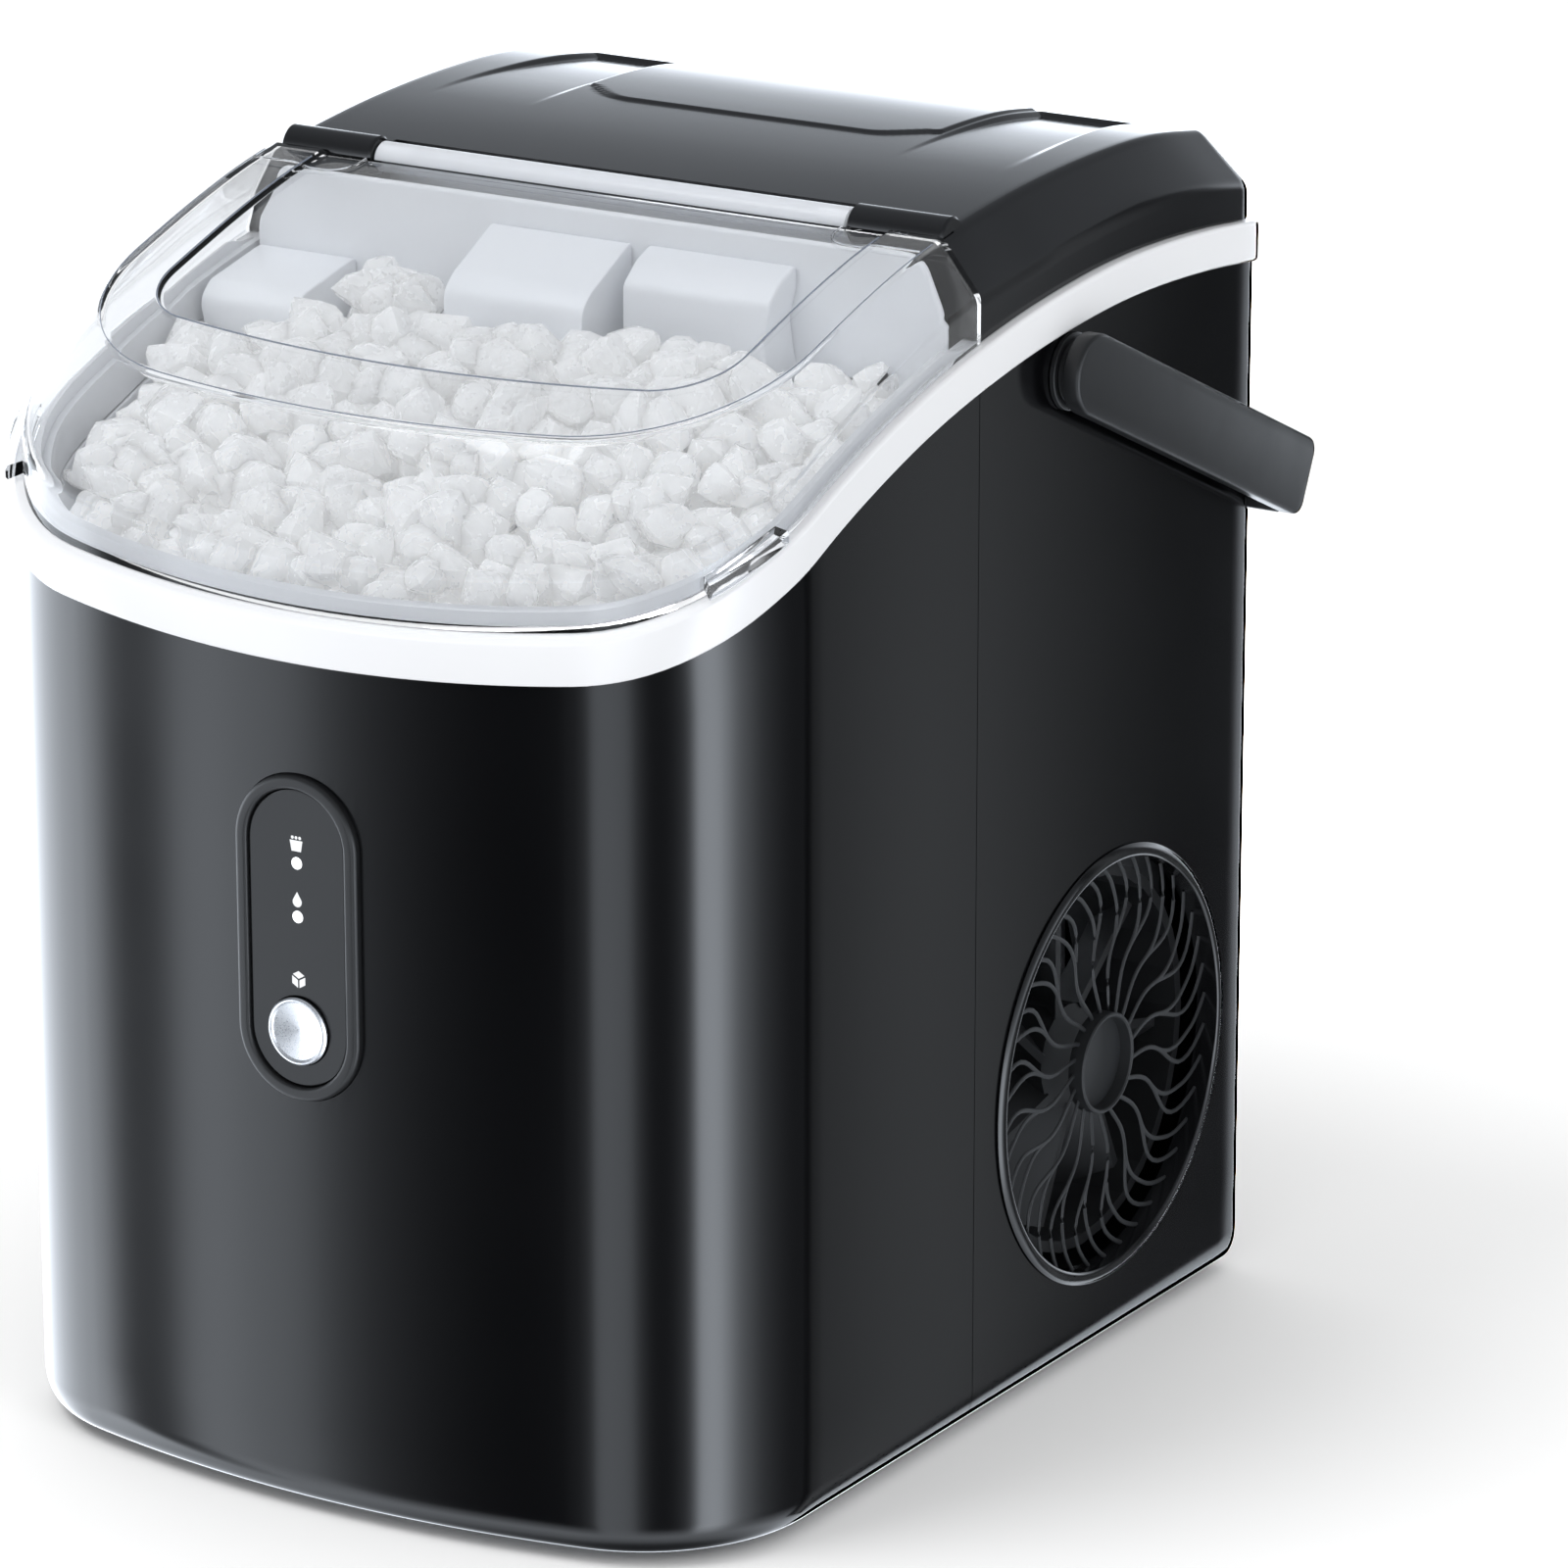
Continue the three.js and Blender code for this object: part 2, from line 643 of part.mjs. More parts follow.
const OUTLET_X0 = -29;
const OUTLET_X1 = 13;
const OUTLET_FRONT = 108;
const CHUTE = { x0: -22, x1: 6, z0: 262, z1: 284 };

function liner() {
  const rim = (y) => TRIM_LOW(y) - 3 * GAP;
  const outside = loft([
    row(binLower(0), BIN_FLOOR),
    row(binLower(0), BIN_STEP - 8),
    row(binOutline(6.6), BIN_STEP),
    row(binOutline(6.6), rim),
  ]);
  const inside = loft([
    row(binLower(BIN_WALL), BIN_FLOOR + BIN_WALL),
    row(binLower(BIN_WALL), BIN_STEP - 8 + BIN_WALL),
    row(binOutline(8.6, { rear: BIN_REAR - 2.4 }), BIN_STEP + BIN_WALL),
    row(binOutline(8.6, { rear: BIN_REAR - 2.4 }), (y) => rim(y) + 5),
  ]);
  const flange = cut(
    loft([row(binOutline(4.2), (y) => rim(y) - 2), row(binOutline(4.2), rim)]),
    loft([row(binOutline(7.5), (y) => rim(y) - 4), row(binOutline(7.5), (y) => rim(y) + 2)]),
  );
  const backPanel = polygon([
    [-103.5, 240],
    [103.5, 240],
    [103.5, 291],
    [97, 306],
    [-97, 306],
    [-103.5, 291],
  ]);
  const back = alongY(backPanel, BIN_REAR - 2.4, BIN_REAR);
  const drainHoles = both([-1, 1], (side) => rod("z", 4, 90, 105, side * 60, 78, 12));
  const chuteHole = box(CHUTE.x0 - 1, CHUTE.x1 + 1, BIN_REAR - 10, BIN_REAR + 10, CHUTE.z0 - 1, CHUTE.z1 + 1);
  const shell = cut(outside, inside);
  return cut(join(shell, flange, back, sensorBlock(), cornerShelf()), chuteHole, ...drainHoles);
}

// The block beside the outlet that carries the ice sensor.
function sensorBlock() {
  return alongX(
    polygon([
      [118, 236],
      [BIN_REAR - 1, 236],
      [BIN_REAR - 1, 300],
      [124, 297],
      [118, 292],
    ]),
    18,
    62,
  );
}

// The closed corner at the rear left of the bin.
function cornerShelf() {
  return alongX(
    polygon([
      [104, 262],
      [BIN_REAR - 1, 240],
      [BIN_REAR - 1, 285],
      [108, 280],
      [104, 276],
    ]),
    -102,
    -72,
  );
}

// The hooded spout on the back wall that the nuggets fall from.
function iceOutlet() {
  const rear = BIN_REAR - 2.4 - GAP;
  const profile = (inset) =>
    polygon([
      [OUTLET_FRONT + inset, 256],
      [rear, 256],
      [rear, 300 - inset],
      [OUTLET_FRONT + 4 + inset * 0.5, 290 - inset],
      [OUTLET_FRONT + inset, 286 - inset],
    ]);
  const outside = alongX(profile(0), OUTLET_X0, OUTLET_X1);
  const inside = join(
    alongX(profile(2), OUTLET_X0 + 2, OUTLET_X1 - 2),
    box(OUTLET_X0 + 2, OUTLET_X1 - 2, OUTLET_FRONT + 2, rear + 1, 250, 257),
    box(CHUTE.x0, CHUTE.x1, rear - 5, rear + 5, CHUTE.z0, CHUTE.z1),
  );
  return cut(outside, inside);
}

function iceBasket() {
  const low = BIN_FLOOR + BIN_WALL + GAP;
  const outside = loft([row(binLower(6), low), row(binLower(4), BIN_STEP - 14)]);
  const inside = loft([row(binLower(8), low + 2), row(binLower(6), BIN_STEP - 10)]);
  const holes = steps(-60, 60, 6).map((x) => box(x - 4, x + 4, 60, 96, low - 2, low + 4));
  return cut(outside, inside, ...holes);
}

// ---- Control panel ----

function panelBezel() {
  const outside = alongY(slotShape(0, PANEL_Z, BEZEL_HALF_WIDTH, BEZEL_HALF_HEIGHT), -BEZEL_PROUD, 8, 5);
  const inner = slotShape(0, PANEL_Z, BEZEL_HALF_WIDTH - BEZEL_RIM, BEZEL_HALF_HEIGHT - BEZEL_RIM);
  return cut(outside, alongY(inner, -10, 10, 5));
}

function panelFace() {
  const inset = BEZEL_RIM + GAP;
  const face = alongY(
    slotShape(0, PANEL_Z, BEZEL_HALF_WIDTH - inset, BEZEL_HALF_HEIGHT - inset),
    -0.8,
    6,
    5,
  );
  const ledHoles = Object.values(LED_HEIGHTS).map((z) => rod("y", LED_RADIUS + GAP, -5, 10, 0, z, 12));
  const buttonHole = rod("y", BUTTON_RADIUS + GAP, -5, 10, 0, BUTTON_Z, 24);
  return cut(face, buttonHole, ...ledHoles);
}

const ledLens = (z) => rod("y", LED_RADIUS, -1, 5.5, 0, z, 12);

function powerButton() {
  const cap = rod("y", BUTTON_RADIUS, -2.4, 2, 0, BUTTON_Z, 24);
  const stem = rod("y", 3, 1, 8.6, 0, BUTTON_Z, 16);
  return join(cap, stem);
}

// The board behind the panel, with a switch under the button and a lamp under each lens.
function controlBoard() {
  const board = box(-15, 15, 13, 14.6, 112, 188);
  const tactSwitch = box(-4, 4, 8.6 + BUTTON_TRAVEL + 0.2, 13.5, BUTTON_Z - 4, BUTTON_Z + 4);
  const lamps = Object.values(LED_HEIGHTS).map((z) => rod("y", 1.4, 7, 13.5, 0, z, 10));
  return join(board, tactSwitch, ...lamps);
}

// ---- Side grille and fan ----

function grilleSpoke(angle) {
  const sweep = 0.2;
  const start = GRILLE_HUB - 1;
  const end = GRILLE_RADIUS - GRILLE_RIM + 1;
  const along = (t) => {
    const radius = start + (end - start) * t;
    const bend = angle + sweep * Math.sin(Math.PI * 1.6 * t) * (0.4 + 0.6 * t);
    return [GRILLE_Y + radius * Math.cos(bend), GRILLE_Z + radius * Math.sin(bend)];
  };
  const half = 0.9;
  const ts = steps(0, 1, 4);
  const side = (sign) => ts.map((t) => {
    const [y, z] = along(t);
    return [y - sign * half * Math.sin(angle), z + sign * half * Math.cos(angle)];
  });
  return alongX(polygon([...side(-1), ...side(1).reverse()]), HALF - 4.5, HALF - 1.5);
}

function sideGrille() {
  const rim = cut(
    rod("x", GRILLE_RADIUS, HALF + GAP, HALF + 1.6, GRILLE_Y, GRILLE_Z, 36),
    rod("x", GRILLE_RADIUS - GRILLE_RIM, HALF - 10, HALF + 10, GRILLE_Y, GRILLE_Z, 36),
  );
  const collar = cut(
    rod("x", GRILLE_RADIUS - 1.4, HALF - 5, HALF + 1, GRILLE_Y, GRILLE_Z, 36),
    rod("x", GRILLE_RADIUS - GRILLE_RIM, HALF - 10, HALF + 10, GRILLE_Y, GRILLE_Z, 36),
  );
  const hub = rod("x", GRILLE_HUB, HALF - 5, HALF - 0.5, GRILLE_Y, GRILLE_Z, 20);
  const dish = rod("x", GRILLE_HUB - 3, HALF - 2.5, HALF + 5, GRILLE_Y, GRILLE_Z, 28);
  const turns = steps(0, 2 * Math.PI, GRILLE_SPOKES).slice(0, -1);
  const spokes = turns.map(grilleSpoke);
  return cut(join(rim, collar, hub, ...spokes), dish);
}

const FAN_RADIUS = 46;
const SHROUD_INNER = 49;
const SHROUD_BACK = 74;

function fanShroud() {
  const ring = rod("x", SHROUD_INNER + 3, SHROUD_BACK, 105, GRILLE_Y, GRILLE_Z, 28);
  const square = rectangle(GRILLE_Y - 53, GRILLE_Y + 53, GRILLE_Z - 53, GRILLE_Z + 53, 8);
  const flange = alongX(square, SHROUD_BACK, 76);
  const bore = rod("x", SHROUD_INNER, 60, 110, GRILLE_Y, GRILLE_Z, 28);
  const bars = [
    box(SHROUD_BACK, 76, GRILLE_Y - 50, GRILLE_Y + 50, GRILLE_Z - 4, GRILLE_Z + 4),
    box(SHROUD_BACK, 76, GRILLE_Y - 4, GRILLE_Y + 4, GRILLE_Z - 50, GRILLE_Z + 50),
  ];
  return join(cut(join(ring, flange), bore), ...bars);
}

function fanMotor() {
  const can = rod("x", 13, 76.3, 83, GRILLE_Y, GRILLE_Z, 24);
  const shaft = rod("x", 1.6, 82, 92, GRILLE_Y, GRILLE_Z, 12);
  return join(can, shaft);
}

function fan() {
  const hub = rod("x", 14, 84.5, 100, GRILLE_Y, GRILLE_Z, 24);
  const shaftHole = rod("x", 1.9, 80, 94, GRILLE_Y, GRILLE_Z, 12);
  const blades = steps(0, 2 * Math.PI, 7)
    .slice(0, -1)
    .map((angle) => {
      const blade = new THREE.BoxGeometry(2, 25, FAN_RADIUS - 12);
      blade.rotateZ(THREE.MathUtils.degToRad(52)).translate(0, 0, (FAN_RADIUS + 12) / 2);
      blade.rotateX(angle).translate(92.3, GRILLE_Y, GRILLE_Z);
      return solid(blade);
    });
  const swept = rod("x", FAN_RADIUS, 84.5, 100.5, GRILLE_Y, GRILLE_Z, 32);
  return cut(join(hub, ...blades).intersect(swept), shaftHole);
}

// ---- Refrigeration ----

function condenser() {
  const core = box(48, 70, 155, 255, 28, 126);
  const fins = steps(160, 250, 9).map((y) => box(47, 66, y - 3, y + 3, 20, 122));
  return cut(core, ...fins);
}

const COMPRESSOR = { x: -52, y: 210, radius: 40 };

function compressor() {
  const { x, y, radius } = COMPRESSOR;
  const can = turned(
    [
      [0, 14],
      [radius - 10, 14],
      [radius - 2, 20],
      [radius, 46],
      [radius, 52],
      [radius - 2, 74],
      [radius - 10, 86],
      [0, 91],
    ],
    x,
    y,
    22,
  );
  const plate = alongZ(rectangle(x - 36, x + 36, y - 36, y + 36, 8), 12.3, 15);
  const holes = grommetSpots().map(([u, v]) => rod("z", 2.8, 0, 20, u, v, 12));
  return cut(join(can, plate), ...holes);
}

function grommetSpots() {
  const { x, y } = COMPRESSOR;
  return [
    [x - 31, y - 31],
    [x + 31, y - 31],
    [x, y + 32.5],
  ];
}

// A rubber grommet under the compressor plate, with a stud through it.
function grommet([x, y]) {
  const profile = [
    [0, 4.3],
    [6, 4.3],
    [6, 12],
    [2.4, 12],
    [2.4, 18],
    [0, 18],
  ];
  return turned(profile, x, y, 12);
}

function evaporator() {
  const jacket = turned(
    [
      [15.5, 119.5],
      [22, 119.5],
      [24, 122],
      [24, 242],
      [22, 245],
      [15.5, 245],
      [15.5, 119.5],
    ],
    AUGER_X,
    AUGER_Y,
    28,
  );
  return jacket;
}

// The auger: a core with one helical flight, made as a lobed section that turns as it rises.
function augerScrew() {
  const sides = 12;
  const layers = 21;
  const low = 119;
  const high = 243;
  const turns = 3.5;
  const ring = (z) => {
    const twist = ((z - low) / (high - low)) * turns * 2 * Math.PI;
    return steps(0, 2 * Math.PI, sides)
      .slice(0, -1)
      .map((angle) => {
        const radius = 7 + 7 * Math.max(0, Math.cos(angle)) ** 4;
        return [AUGER_X + radius * Math.cos(angle + twist), AUGER_Y + radius * Math.sin(angle + twist), z];
      });
  };
  const screw = ringLoft(steps(low, high, layers).map(ring));
  const shaft = rod("z", 3.5, 99, 250, AUGER_X, AUGER_Y, 16);
  return join(screw, shaft);
}

// A closed solid through stacked closed rings of points, anticlockwise from above.
function ringLoft(rings) {
  const points = [];
  const count = rings[0].length;
  rings.slice(0, -1).forEach((low, r) => {
    const high = rings[r + 1];
    for (let i = 0; i < count; i++) {
      const j = (i + 1) % count;
      points.push(...low[i], ...low[j], ...high[j], ...low[i], ...high[j], ...high[i]);
    }
  });
  const middle = (ring) => [0, 1, 2].map((k) => ring.reduce((sum, point) => sum + point[k], 0) / count);
  const [bottom, top] = [rings[0], rings[rings.length - 1]];
  for (let i = 0; i < count; i++) {
    const j = (i + 1) % count;
    points.push(...middle(bottom), ...bottom[j], ...bottom[i]);
    points.push(...middle(top), ...top[i], ...top[j]);
  }
  const geometry = new THREE.BufferGeometry();
  geometry.setAttribute("position", new THREE.Float32BufferAttribute(points, 3));
  return solid(geometry);
}

// The head on top of the evaporator that breaks the ice into nuggets and turns them into the chute.
function iceHead() {
  const head = turned(
    [
      [0, 245.4],
      [22, 245.4],
      [22, 250],
      [20, 286],
      [0, 286],
    ],
    AUGER_X,
    AUGER_Y,
    24,
  );
  const spout = box(CHUTE.x0 + 1, CHUTE.x1 - 1, BIN_REAR + 1.5, AUGER_Y, CHUTE.z0 + 1, CHUTE.z1 - 1);
  const bore = rod("z", 13, 240, 283.5, AUGER_X, AUGER_Y, 20);
  const throat = box(CHUTE.x0 + 3, CHUTE.x1 - 3, BIN_REAR, AUGER_Y, CHUTE.z0 + 3, CHUTE.z1 - 3);
  return cut(join(head, spout), bore, throat);
}

// ---- Auger drive ----

function gearShape(teeth, x, y, startAngle) {
  const pitch = (GEAR_MODULE * teeth) / 2;
  const root = pitch - 1.3 * GEAR_MODULE;
  const tip = pitch + 0.85 * GEAR_MODULE;
  const step = (2 * Math.PI) / teeth;
  const outline = steps(0, teeth - 1, teeth - 1).flatMap((i) => {
    const at = startAngle + i * step;
    return [
      [root, -0.25],
      [tip, -0.09],
      [tip, 0.09],
      [root, 0.25],
    ].map(([radius, share]) => [
      x + radius * Math.cos(at + share * step),
      y + radius * Math.sin(at + share * step),
    ]);
  });
  return polygon(outline);
}

function driveGear() {
  const wheel = alongZ(gearShape(GEAR_TEETH, AUGER_X, AUGER_Y, 0), SHELF_Z + 5, SHELF_Z + 12);
  return cut(wheel, rod("z", 3.8, 90, 120, AUGER_X, AUGER_Y, 16));
}

// The pinion faces the wheel with a gap where the wheel has a tooth.
function motorPinion() {
  const facing = Math.PI + Math.PI / PINION_TEETH;
  const pinion = alongZ(gearShape(PINION_TEETH, PINION_X, AUGER_Y, facing), SHELF_Z + 4.5, SHELF_Z + 12.5);
  const shaft = rod("z", 2.5, 93.6, SHELF_Z + 5, PINION_X, AUGER_Y, 12);
  return join(pinion, shaft);
}

const GEARBOX = { x0: -40, x1: 38, y0: 136.5, y1: 196 };

function gearboxCase() {
  const { x0, x1, y0, y1 } = GEARBOX;
  const low = SHELF_Z + GAP;
  const outside = alongZ(rectangle(x0, x1, y0, y1, 6), low, 116, 3);
  const inside = alongZ(rectangle(x0 + 2.5, x1 - 2.5, y0 + 2.5, y1 - 2.5, 4), low + 2.4, 120, 3);
  const shaftHoles = [
    rod("z", 3.8, 90, 110, AUGER_X, AUGER_Y, 16),
    rod("z", 2.8, 90, 110, PINION_X, AUGER_Y, 16),
  ];
  return cut(outside, inside, ...shaftHoles);
}

function gearboxCover() {
  const { x0, x1, y0, y1 } = GEARBOX;
  const plate = alongZ(rectangle(x0, x1, y0, y1, 6), 116.3, 118.8, 3);
  return cut(plate, rod("z", 3.8, 110, 125, AUGER_X, AUGER_Y, 16));
}

function gearMotor() {
  const can = rod("z", 17, 36, 92, PINION_X, AUGER_Y, 28);
  const nose = rod("z", 6, 91, 93.4, PINION_X, AUGER_Y, 16);
  return join(can, nose);
}

// The sheet-metal frame that carries the gearbox and evaporator over the tray.
function innerFrame() {
  const shelf = box(-56, 43, 136.5, 198, SHELF_Z - 2, SHELF_Z);
  const leftLeg = box(-56, -54, 136.5, 164, 4.3, SHELF_Z);
  const rightLeg = box(41, 43, 136.5, 198, 4.3, SHELF_Z);
  const motorHole = rod("z", 9, 90, 100, PINION_X, AUGER_Y, 20);
  const augerHole = rod("z", 5, 90, 100, AUGER_X, AUGER_Y, 16);
  const hoseHole = rod("z", 4.5, 90, 100, HOSE_X, HOSE_Y, 12);
  return cut(join(shelf, leftLeg, rightLeg), motorHole, augerHole, hoseHole);
}

// ---- Water ----

function waterTank() {
  const wall = binOutline(9, { rear: 126 });
  const hollow = binOutline(11, { rear: 124 });
  const outside = loft([row(wall, 6), row(wall, BIN_FLOOR - GAP)]);
  const inside = loft([row(hollow, 8), row(hollow, BIN_FLOOR + 5)]);
  return cut(outside, inside);
}

function pump() {
  const body = alongZ(rectangle(-46, -14, 128, 152, 4), 6, 34);
  const motor = rod("z", 9, 33, 56, -30, 140, 20);
  return join(body, motor);
}

// ---- Handle ----

// Turns a point given along and across the folded arm into [y, z].
function onArm(reach, across) {
  const [c, s] = [Math.cos(ARM_REST), Math.sin(ARM_REST)];
  return [PIVOT_Y + reach * c - across * s, PIVOT_Z + reach * s + across * c];
}

function armOutline() {
  const shape = new THREE.Shape();
  const corner = 4;
  const end = ARM_REACH;
  const half = ARM_HALF_WIDTH;
  shape.absarc(PIVOT_Y, PIVOT_Z, half, ARM_REST + Math.PI / 2, ARM_REST + 1.5 * Math.PI);
  const [lowY, lowZ] = onArm(end - corner, -half + corner);
  shape.absarc(lowY, lowZ, corner, ARM_REST - Math.PI / 2, ARM_REST);
  const [highY, highZ] = onArm(end - corner, half - corner);
  shape.absarc(highY, highZ, corner, ARM_REST, ARM_REST + Math.PI / 2);
  return shape;
}

function handleArm(side) {
  const [inner, outer] = side > 0 ? [ARM_INNER, ARM_OUTER] : [-ARM_OUTER, -ARM_INNER];
  const plate = alongX(armOutline(), inner, outer, 8);
  const [from, to] = side > 0 ? [106, ARM_INNER + 1] : [-ARM_INNER - 1, -106];
  const spigot = rod("x", SPIGOT_RADIUS, from, to, PIVOT_Y, PIVOT_Z, 20);
  return join(plate, spigot);
}

// The bar between the arms, hollow towards the cabinet.
function handleBar() {
  const half = ARM_HALF_WIDTH;
  const bar = polygon([
    onArm(ARM_REACH - BAR_THICKNESS, -half + 2),
    onArm(ARM_REACH - 2, -half),
    onArm(ARM_REACH, -half + 2),
    onArm(ARM_REACH, half - 2),
    onArm(ARM_REACH - 2, half),
    onArm(ARM_REACH - BAR_THICKNESS, half - 2),
  ]);
  const hollow = polygon([
    onArm(ARM_REACH - BAR_THICKNESS - 1, -half + 5),
    onArm(ARM_REACH - 2.5, -half + 5),
    onArm(ARM_REACH - 2.5, half - 5),
    onArm(ARM_REACH - BAR_THICKNESS - 1, half - 5),
  ]);
  const end = ARM_INNER - GAP;
  return cut(alongX(bar, -end, end), alongX(hollow, -end + 6, end - 6));
}

function pivotBoss(side) {
  const [from, to] = side > 0 ? [HALF + GAP, ARM_INNER - GAP] : [-ARM_INNER + GAP, -HALF - GAP];
  return cut(
    rod("x", BOSS_RADIUS, from, to, PIVOT_Y, PIVOT_Z, 28),
    rod("x", SPIGOT_RADIUS + GAP, from - 1, to + 1, PIVOT_Y, PIVOT_Z, 20),
  );
}

// The clip that keeps the spigot in, on the inside of the cabinet wall.
function pivotClip(side) {
  const [from, to] = side > 0 ? [103, 105.7] : [-105.7, -103];
  return rod("x", 7.5, from, to, PIVOT_Y, PIVOT_Z, 16);
}

// ---- Rear fittings ----

function drainPort() {
  const flange = rod("y", 11, DEPTH + GAP, DEPTH + 2.4, DRAIN_X, DRAIN_Z, 24);
  const pipe = rod("y", 7, DEPTH - 9, DEPTH + 1, DRAIN_X, DRAIN_Z, 24);
  return cut(join(flange, pipe), rod("y", 4.5, DEPTH - 20, DEPTH + 5, DRAIN_X, DRAIN_Z, 20));
}

function drainPlug() {
  const stem = rod("y", 4.2, DEPTH - 6, DEPTH + 4, DRAIN_X, DRAIN_Z, 20);
  const head = rod("y", 8, DEPTH + 2.8, DEPTH + 5.5, DRAIN_X, DRAIN_Z, 24);
  const pull = box(DRAIN_X - 2, DRAIN_X + 2, DEPTH + 5, DEPTH + 10, DRAIN_Z - 6, DRAIN_Z + 6);
  return join(stem, head, pull);
}

function cordInlet() {
  const flange = rod("y", 10, DEPTH + GAP, DEPTH + 3, CORD_X, CORD_Z, 24);
  const neck = rod("y", 7, DEPTH - 5, DEPTH + 1, CORD_X, CORD_Z, 24);
  return cut(join(flange, neck), rod("y", 3.6, DEPTH - 20, DEPTH + 9, CORD_X, CORD_Z, 16));
}

function rearScrew([x, z]) {
  const head = rod("y", 4, DEPTH + GAP, DEPTH + 2, x, z, 16);
  const shank = rod("y", 2, DEPTH - 8, DEPTH + 1, x, z, 12);
  return join(head, shank);
}

function powerBoard() {
  const board = box(-104, -102.4, 205, 262, 150, 232);
  const transformer = box(-102.5, -82, 212, 236, 158, 186);
  const relay = box(-102.5, -88, 240, 256, 160, 176);
  const capacitor = rod("x", 8, -102.5, -80, 226, 210, 16);
  return join(board, transformer, relay, capacitor);
}

// ---- Assembly ----

const skin = cabinetSkin();
add("front_wrap", frontWrap(skin), GLOSS_BLACK);
add("rear_shell", rearShell(skin), GLOSS_BLACK);
add("base_tray", baseTray(), SATIN_BLACK);
FOOT_SPOTS.forEach((spot, i) => add(`foot_${FOOT_NAMES[i]}`, foot(spot), RUBBER_BLACK));
add("trim_band", trimBand(), WHITE);
add("hood", hood(), HOOD_BLACK);
add("lid", lid(), CLEAR);
add("liner", liner(), WHITE);
add("ice_outlet", iceOutlet(), WHITE);
add("ice_sensor", box(33, 47, 114.4, 117.6, 262, 270), SATIN_BLACK);
add("ice_basket", iceBasket(), MILKY);

add("panel_bezel", panelBezel(), SATIN_BLACK);
add("panel_face", panelFace(), GLOSS_BLACK);
add("lamp_lens_full", ledLens(LED_HEIGHTS.full), LIGHT);
add("lamp_lens_water", ledLens(LED_HEIGHTS.water), LIGHT);
add("power_button", powerButton(), SILVER);
add("control_board", controlBoard(), BOARD_GREEN);

add("side_grille", sideGrille(), SATIN_BLACK);
add("fan_shroud", fanShroud(), SATIN_BLACK);
add("fan_motor", fanMotor(), STAINLESS);
add("fan", fan(), SATIN_BLACK);
add("condenser", condenser(), STAINLESS);
add("compressor", compressor(), GLOSS_BLACK);
grommetSpots().forEach((spot, i) => add(`compressor_grommet_${i + 1}`, grommet(spot), RUBBER_BLACK));

add("evaporator", evaporator(), STAINLESS);
add("ice_head", iceHead(), MILKY);
add("auger", augerScrew(), STAINLESS);
add("drive_gear", driveGear(), MILKY);
add("motor_pinion", motorPinion(), STAINLESS);
add("gearbox_case", gearboxCase(), STAINLESS);
add("gearbox_cover", gearboxCover(), STAINLESS);
add("gear_motor", gearMotor(), STAINLESS);
add("inner_frame", innerFrame(), STAINLESS);

// The middle lines of the pipes and hoses.
const dischargeRoute = [
  [-52, 212, 92],
  [-52, 212, 104],
  [-46, 224, 126],
  [0, 238, 137],
  [48, 238, 142],
  [59, 236, 138],
  [59, 236, 126.5],
];
const suctionRoute = [
  [20, 175, 228],
  [30, 200, 226],
  [24, 240, 180],
  [0, 262, 120],
  [-6, 250, 70],
  [-19, 236, 60],
];
const waterRoute = [
  [-30, 140, 56.5],
  [-31, 141, 66],
  [HOSE_X, HOSE_Y, 84],
  [HOSE_X, HOSE_Y, 100],
  [HOSE_X, HOSE_Y, 122],
  [-34.5, 158, 134],
];
const drainRoute = [
  [-84, 126.6, 16],
  [-85, 134, 15],
  [-97, 150, 12],
  [-99, 175, 11.5],
  [-99, 245, 11.5],
  [-95, 258, 19],
  [DRAIN_X, 265, DRAIN_Z],
  [DRAIN_X, DEPTH - 9.5, DRAIN_Z],
];

add("discharge_pipe", tube(dischargeRoute, 2.4), COPPER);
add("suction_pipe", tube(suctionRoute, 3), COPPER);

add("water_tank", waterTank(), MILKY);
add("level_sensor", rod("z", 4, 9, 72, 78, 104, 14), SATIN_BLACK);
add("pump", pump(), SATIN_BLACK);
add("water_hose", tube(waterRoute, 3), MILKY);
add("drain_hose", tube(drainRoute, 3), MILKY);

for (const [name, side] of Object.entries(SIDES)) {
  add(`hinge_pin_${name}`, hingePin(side), STAINLESS);
  add(`pivot_boss_${name}`, pivotBoss(side), SATIN_BLACK);
  add(`pivot_clip_${name}`, pivotClip(side), STAINLESS);
  add(`handle_arm_${name}`, handleArm(side), SATIN_BLACK);
  add(`rear_screw_${name}`, rearScrew(SCREW_SPOTS[name]), STAINLESS);
}
add("handle_bar", handleBar(), SATIN_BLACK);
add("drain_port", drainPort(), SATIN_BLACK);
add("drain_plug", drainPlug(), RUBBER_BLACK);
add("cord_inlet", cordInlet(), RUBBER_BLACK);
add("power_board", powerBoard(), BOARD_GREEN);

// The origin is under the middle of the whole machine, on the surface that its feet stand on.
const extent = new THREE.Box3().setFromObject(machine);
machine.position.set(0, -(extent.min.y + extent.max.y) / 2, -extent.min.z);

export default machine;
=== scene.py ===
"""A countertop nugget ice maker: its looks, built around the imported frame.

Lengths in this script are millimetres in the machine's own frame until a mesh is made: x = 0 is the
plane of symmetry, y = 0 the middle of the front face and z = 0 the lower edge of the cabinet.
"""

import json
import math
import random

import bmesh
import bpy
from mathutils import Matrix, Vector, noise


